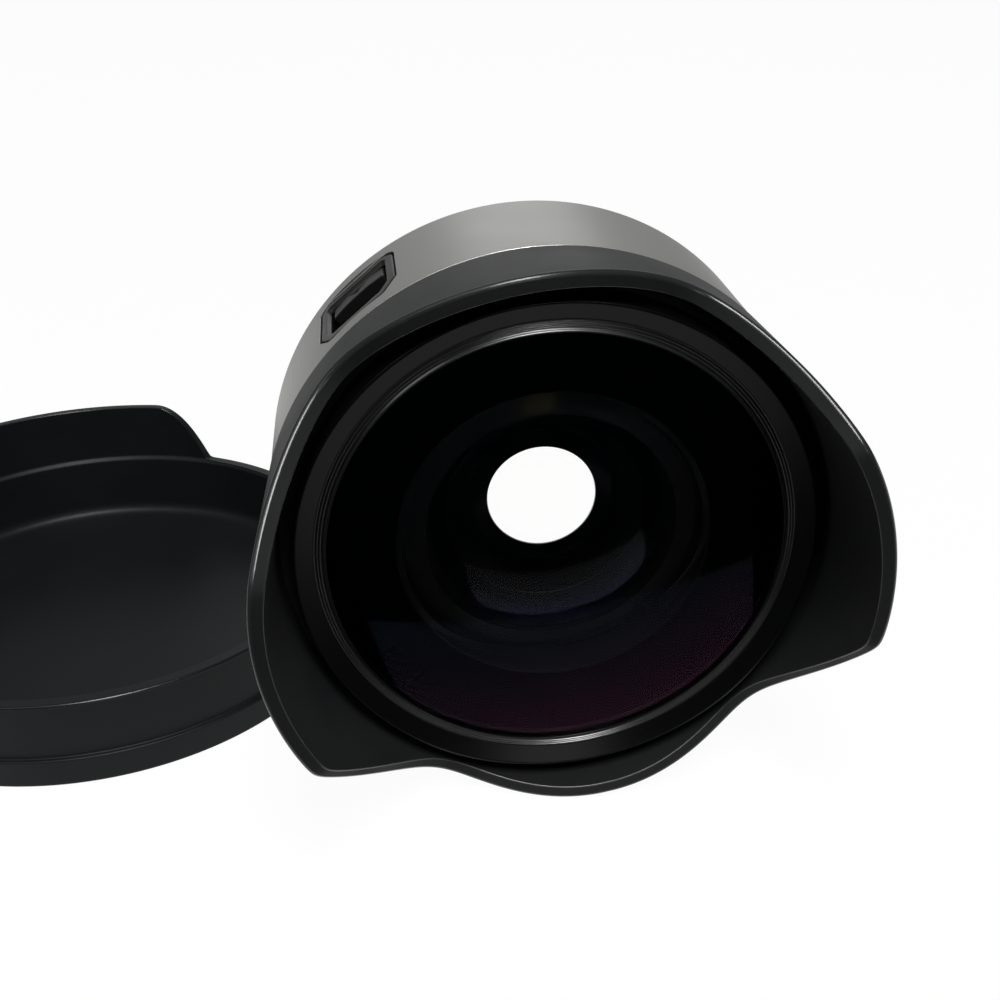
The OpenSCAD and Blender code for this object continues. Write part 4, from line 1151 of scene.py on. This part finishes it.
def make_floor(p):
    """Pale floor: plain diffuse, with a share of plain white added for camera, metal and glass.

    Its front edge runs square to the camera's heading, just outside the picture.
    """
    half = 2.0
    tilt = half * np.tan(p.heading)
    mesh = bpy.data.meshes.new("floor")
    mesh.from_pydata([(-half, tilt - p.floor_front, TABLE_Z), (half, -tilt - p.floor_front, TABLE_Z),
                      (half, half, TABLE_Z), (-half, half, TABLE_Z)], [], [(0, 1, 2, 3)])
    floor = add_object("floor", mesh)
    material, add = new_material("floor_white")
    path = add("ShaderNodeLightPath")
    seen = add("ShaderNodeMath", {"operation": "ADD"}, _0=path.outputs["Is Camera Ray"],
               _1=path.outputs["Is Glossy Ray"])
    seen = add("ShaderNodeMath", {"operation": "ADD", "use_clamp": True}, _0=seen.outputs[0],
               _1=path.outputs["Is Transmission Ray"])
    part = add("ShaderNodeMath", {"operation": "MULTIPLY"}, _0=seen.outputs[0], _1=p.floor_white)
    matte = add("ShaderNodeBsdfDiffuse", Color=(*p.floor, 1.0))
    white = add("ShaderNodeEmission", Color=(1.0, 1.0, 1.0, 1.0), Strength=1.0)
    mixed = add("ShaderNodeMixShader", _0=part.outputs[0], _1=matte.outputs[0], _2=white.outputs[0])
    add("ShaderNodeOutputMaterial", Surface=mixed.outputs[0])
    mesh.materials.append(material)


def make_panel(name, place, size, level):
    """Soft panel lamp that faces the origin: its power is its brightness times its area times pi."""
    lamp = bpy.data.lights.new(name, "AREA")
    lamp.shape = "RECTANGLE"
    lamp.size, lamp.size_y = size
    lamp.energy = level * size[0] * size[1] * np.pi
    panel = add_object(name, lamp)
    panel.location = place
    panel.rotation_euler = (-Vector(place)).to_track_quat("-Z", "Y").to_euler()


def make_surround(p):
    """Surround: white to the camera, and to metal and glass on its pale side; elsewhere a dim light.

    The pale side lies behind the object; it fades with the cosine from the line to its middle.
    """
    world = bpy.data.worlds.new("surround")
    world.use_nodes = True
    add = new_tree(world.node_tree)
    place = add("ShaderNodeTexCoord")
    path = add("ShaderNodeLightPath")
    facing = add("ShaderNodeVectorMath", {"operation": "DOT_PRODUCT"}, _0=place.outputs["Generated"],
                 _1=PALE_MIDDLE)
    glow = add("ShaderNodeMapRange", {"interpolation_type": "SMOOTHSTEP"}, Value=facing.outputs["Value"],
               From_Min=PALE_END, From_Max=1.0, To_Min=0.0, To_Max=p.pale)
    mirrored = add("ShaderNodeMath", {"operation": "ADD", "use_clamp": True}, _0=path.outputs["Is Glossy Ray"],
                   _1=path.outputs["Is Transmission Ray"])
    shown = add("ShaderNodeMath", {"operation": "MULTIPLY_ADD", "use_clamp": True}, _0=mirrored.outputs[0],
                _1=glow.outputs["Result"], _2=path.outputs["Is Camera Ray"])
    level = add("ShaderNodeMath", {"operation": "MAXIMUM"}, _0=shown.outputs[0], _1=p.dim)
    light = add("ShaderNodeBackground", Color=(1.0, 1.0, 1.0, 1.0), Strength=level.outputs[0])
    add("ShaderNodeOutputWorld", Surface=light.outputs[0])
    return world


def make_stage(scene):
    """Floor, surround, four soft panels and the camera."""
    p = scene.lens_stage
    scene.view_settings.view_transform = "Standard"
    make_floor(p)
    scene.world = make_surround(p)
    make_panel("top_panel", (0.0, -0.3, 0.52), (0.15, 0.3), p.top_level)
    make_panel("back_panel", (0.08, 0.95, 0.31), (0.35, 0.3), p.back_level)
    make_panel("left_panel", (-0.42, -0.23, 0.59), (0.22, 0.6), p.left_level)
    make_panel("front_panel", (0.14, -0.96, 0.26), (0.3, 0.2), p.front_level)
    camera = add_object("camera", bpy.data.cameras.new("camera"))
    turn_matrix = (Matrix.Rotation(-p.heading, 4, "Z") @ Matrix.Rotation(np.pi / 2 + p.pitch, 4, "X")
                   @ Matrix.Rotation(p.roll, 4, "Z"))
    camera.matrix_world = Matrix.Translation(p.camera) @ turn_matrix
    camera.data.lens = p.focal
    camera.data.shift_x, camera.data.shift_y = p.shift_x, p.shift_y
    camera.data.clip_start = 0.01
    camera.data.clip_end = 20.0
    scene.camera = camera


# Operators, panel and registration

class LENS_OT_barrel(bpy.types.Operator):
    """Builds the silver barrel with its release window."""
    bl_idname = "lens.barrel"
    bl_label = "Silver barrel"

    def execute(self, context):
        make_barrel(context.scene)
        return {"FINISHED"}


class LENS_OT_hood(bpy.types.Operator):
    """Builds the petal hood."""
    bl_idname = "lens.hood"
    bl_label = "Petal hood"

    def execute(self, context):
        make_hood(context.scene)
        return {"FINISHED"}


class LENS_OT_bezel(bpy.types.Operator):
    """Builds the bezel ring."""
    bl_idname = "lens.bezel"
    bl_label = "Bezel ring"

    def execute(self, context):
        make_bezel(context.scene)
        return {"FINISHED"}


class LENS_OT_glass(bpy.types.Operator):
    """Builds the four coated glasses."""
    bl_idname = "lens.glass"
    bl_label = "Glass"

    def execute(self, context):
        make_glass(context.scene)
        return {"FINISHED"}


class LENS_OT_release(bpy.types.Operator):
    """Builds the release frame, knob and spring."""
    bl_idname = "lens.release"
    bl_label = "Release"

    def execute(self, context):
        make_release(context.scene)
        return {"FINISHED"}


class LENS_OT_mount(bpy.types.Operator):
    """Builds the rear bayonet, plate and screws."""
    bl_idname = "lens.mount"
    bl_label = "Rear mount"

    def execute(self, context):
        make_mount(context.scene)
        return {"FINISHED"}


class LENS_OT_cap(bpy.types.Operator):
    """Builds the push-on cap."""
    bl_idname = "lens.cap"
    bl_label = "Push-on cap"

    def execute(self, context):
        make_cap(context.scene)
        return {"FINISHED"}


class LENS_OT_inner(bpy.types.Operator):
    """Gives the inner CAD pieces their finishes."""
    bl_idname = "lens.inner"
    bl_label = "Inner pieces"

    def execute(self, context):
        finish_inner(context.scene)
        return {"FINISHED"}


class LENS_OT_stage(bpy.types.Operator):
    """Sets the floor, light and camera."""
    bl_idname = "lens.stage"
    bl_label = "Stage"

    def execute(self, context):
        make_stage(context.scene)
        return {"FINISHED"}


OPERATORS = (LENS_OT_barrel, LENS_OT_hood, LENS_OT_bezel, LENS_OT_glass, LENS_OT_release, LENS_OT_mount, LENS_OT_cap,
             LENS_OT_inner, LENS_OT_stage)
GROUPS = {"lens_barrel": BarrelShape, "lens_hood": HoodShape, "lens_bezel": BezelShape, "lens_glass": GlassShape,
          "lens_release": ReleaseShape, "lens_mount": MountShape, "lens_cap": CapShape, "lens_finish": LensFinishes,
          "lens_stage": StageSetup}


class LENS_PT_builder(bpy.types.Panel):
    """Lists the pieces and their values."""
    bl_idname = "LENS_PT_builder"
    bl_label = "Fisheye converter lens"
    bl_space_type = "VIEW_3D"
    bl_region_type = "UI"
    bl_category = "Lens"

    def draw(self, context):
        for operator in OPERATORS:
            self.layout.operator(operator.bl_idname)
        for name, group in GROUPS.items():
            box = self.layout.box()
            box.label(text=group.__doc__.rstrip("."))
            for key in group.__annotations__:
                box.prop(getattr(context.scene, name), key)


def register():
    """Registers the groups, operators and panel."""
    for name, group in GROUPS.items():
        bpy.utils.register_class(group)
        setattr(bpy.types.Scene, name, PointerProperty(type=group))
    for item in (*OPERATORS, LENS_PT_builder):
        bpy.utils.register_class(item)


def unregister():
    """Takes the panel, operators and groups off again."""
    for item in reversed((*OPERATORS, LENS_PT_builder)):
        bpy.utils.unregister_class(item)
    for name, group in reversed(GROUPS.items()):
        delattr(bpy.types.Scene, name)
        bpy.utils.unregister_class(group)


def main():
    """Builds every piece in order."""
    register()
    for operator in OPERATORS:
        family, call = operator.bl_idname.split(".")
        getattr(getattr(bpy.ops, family), call)()


if __name__ == "__main__":
    main()
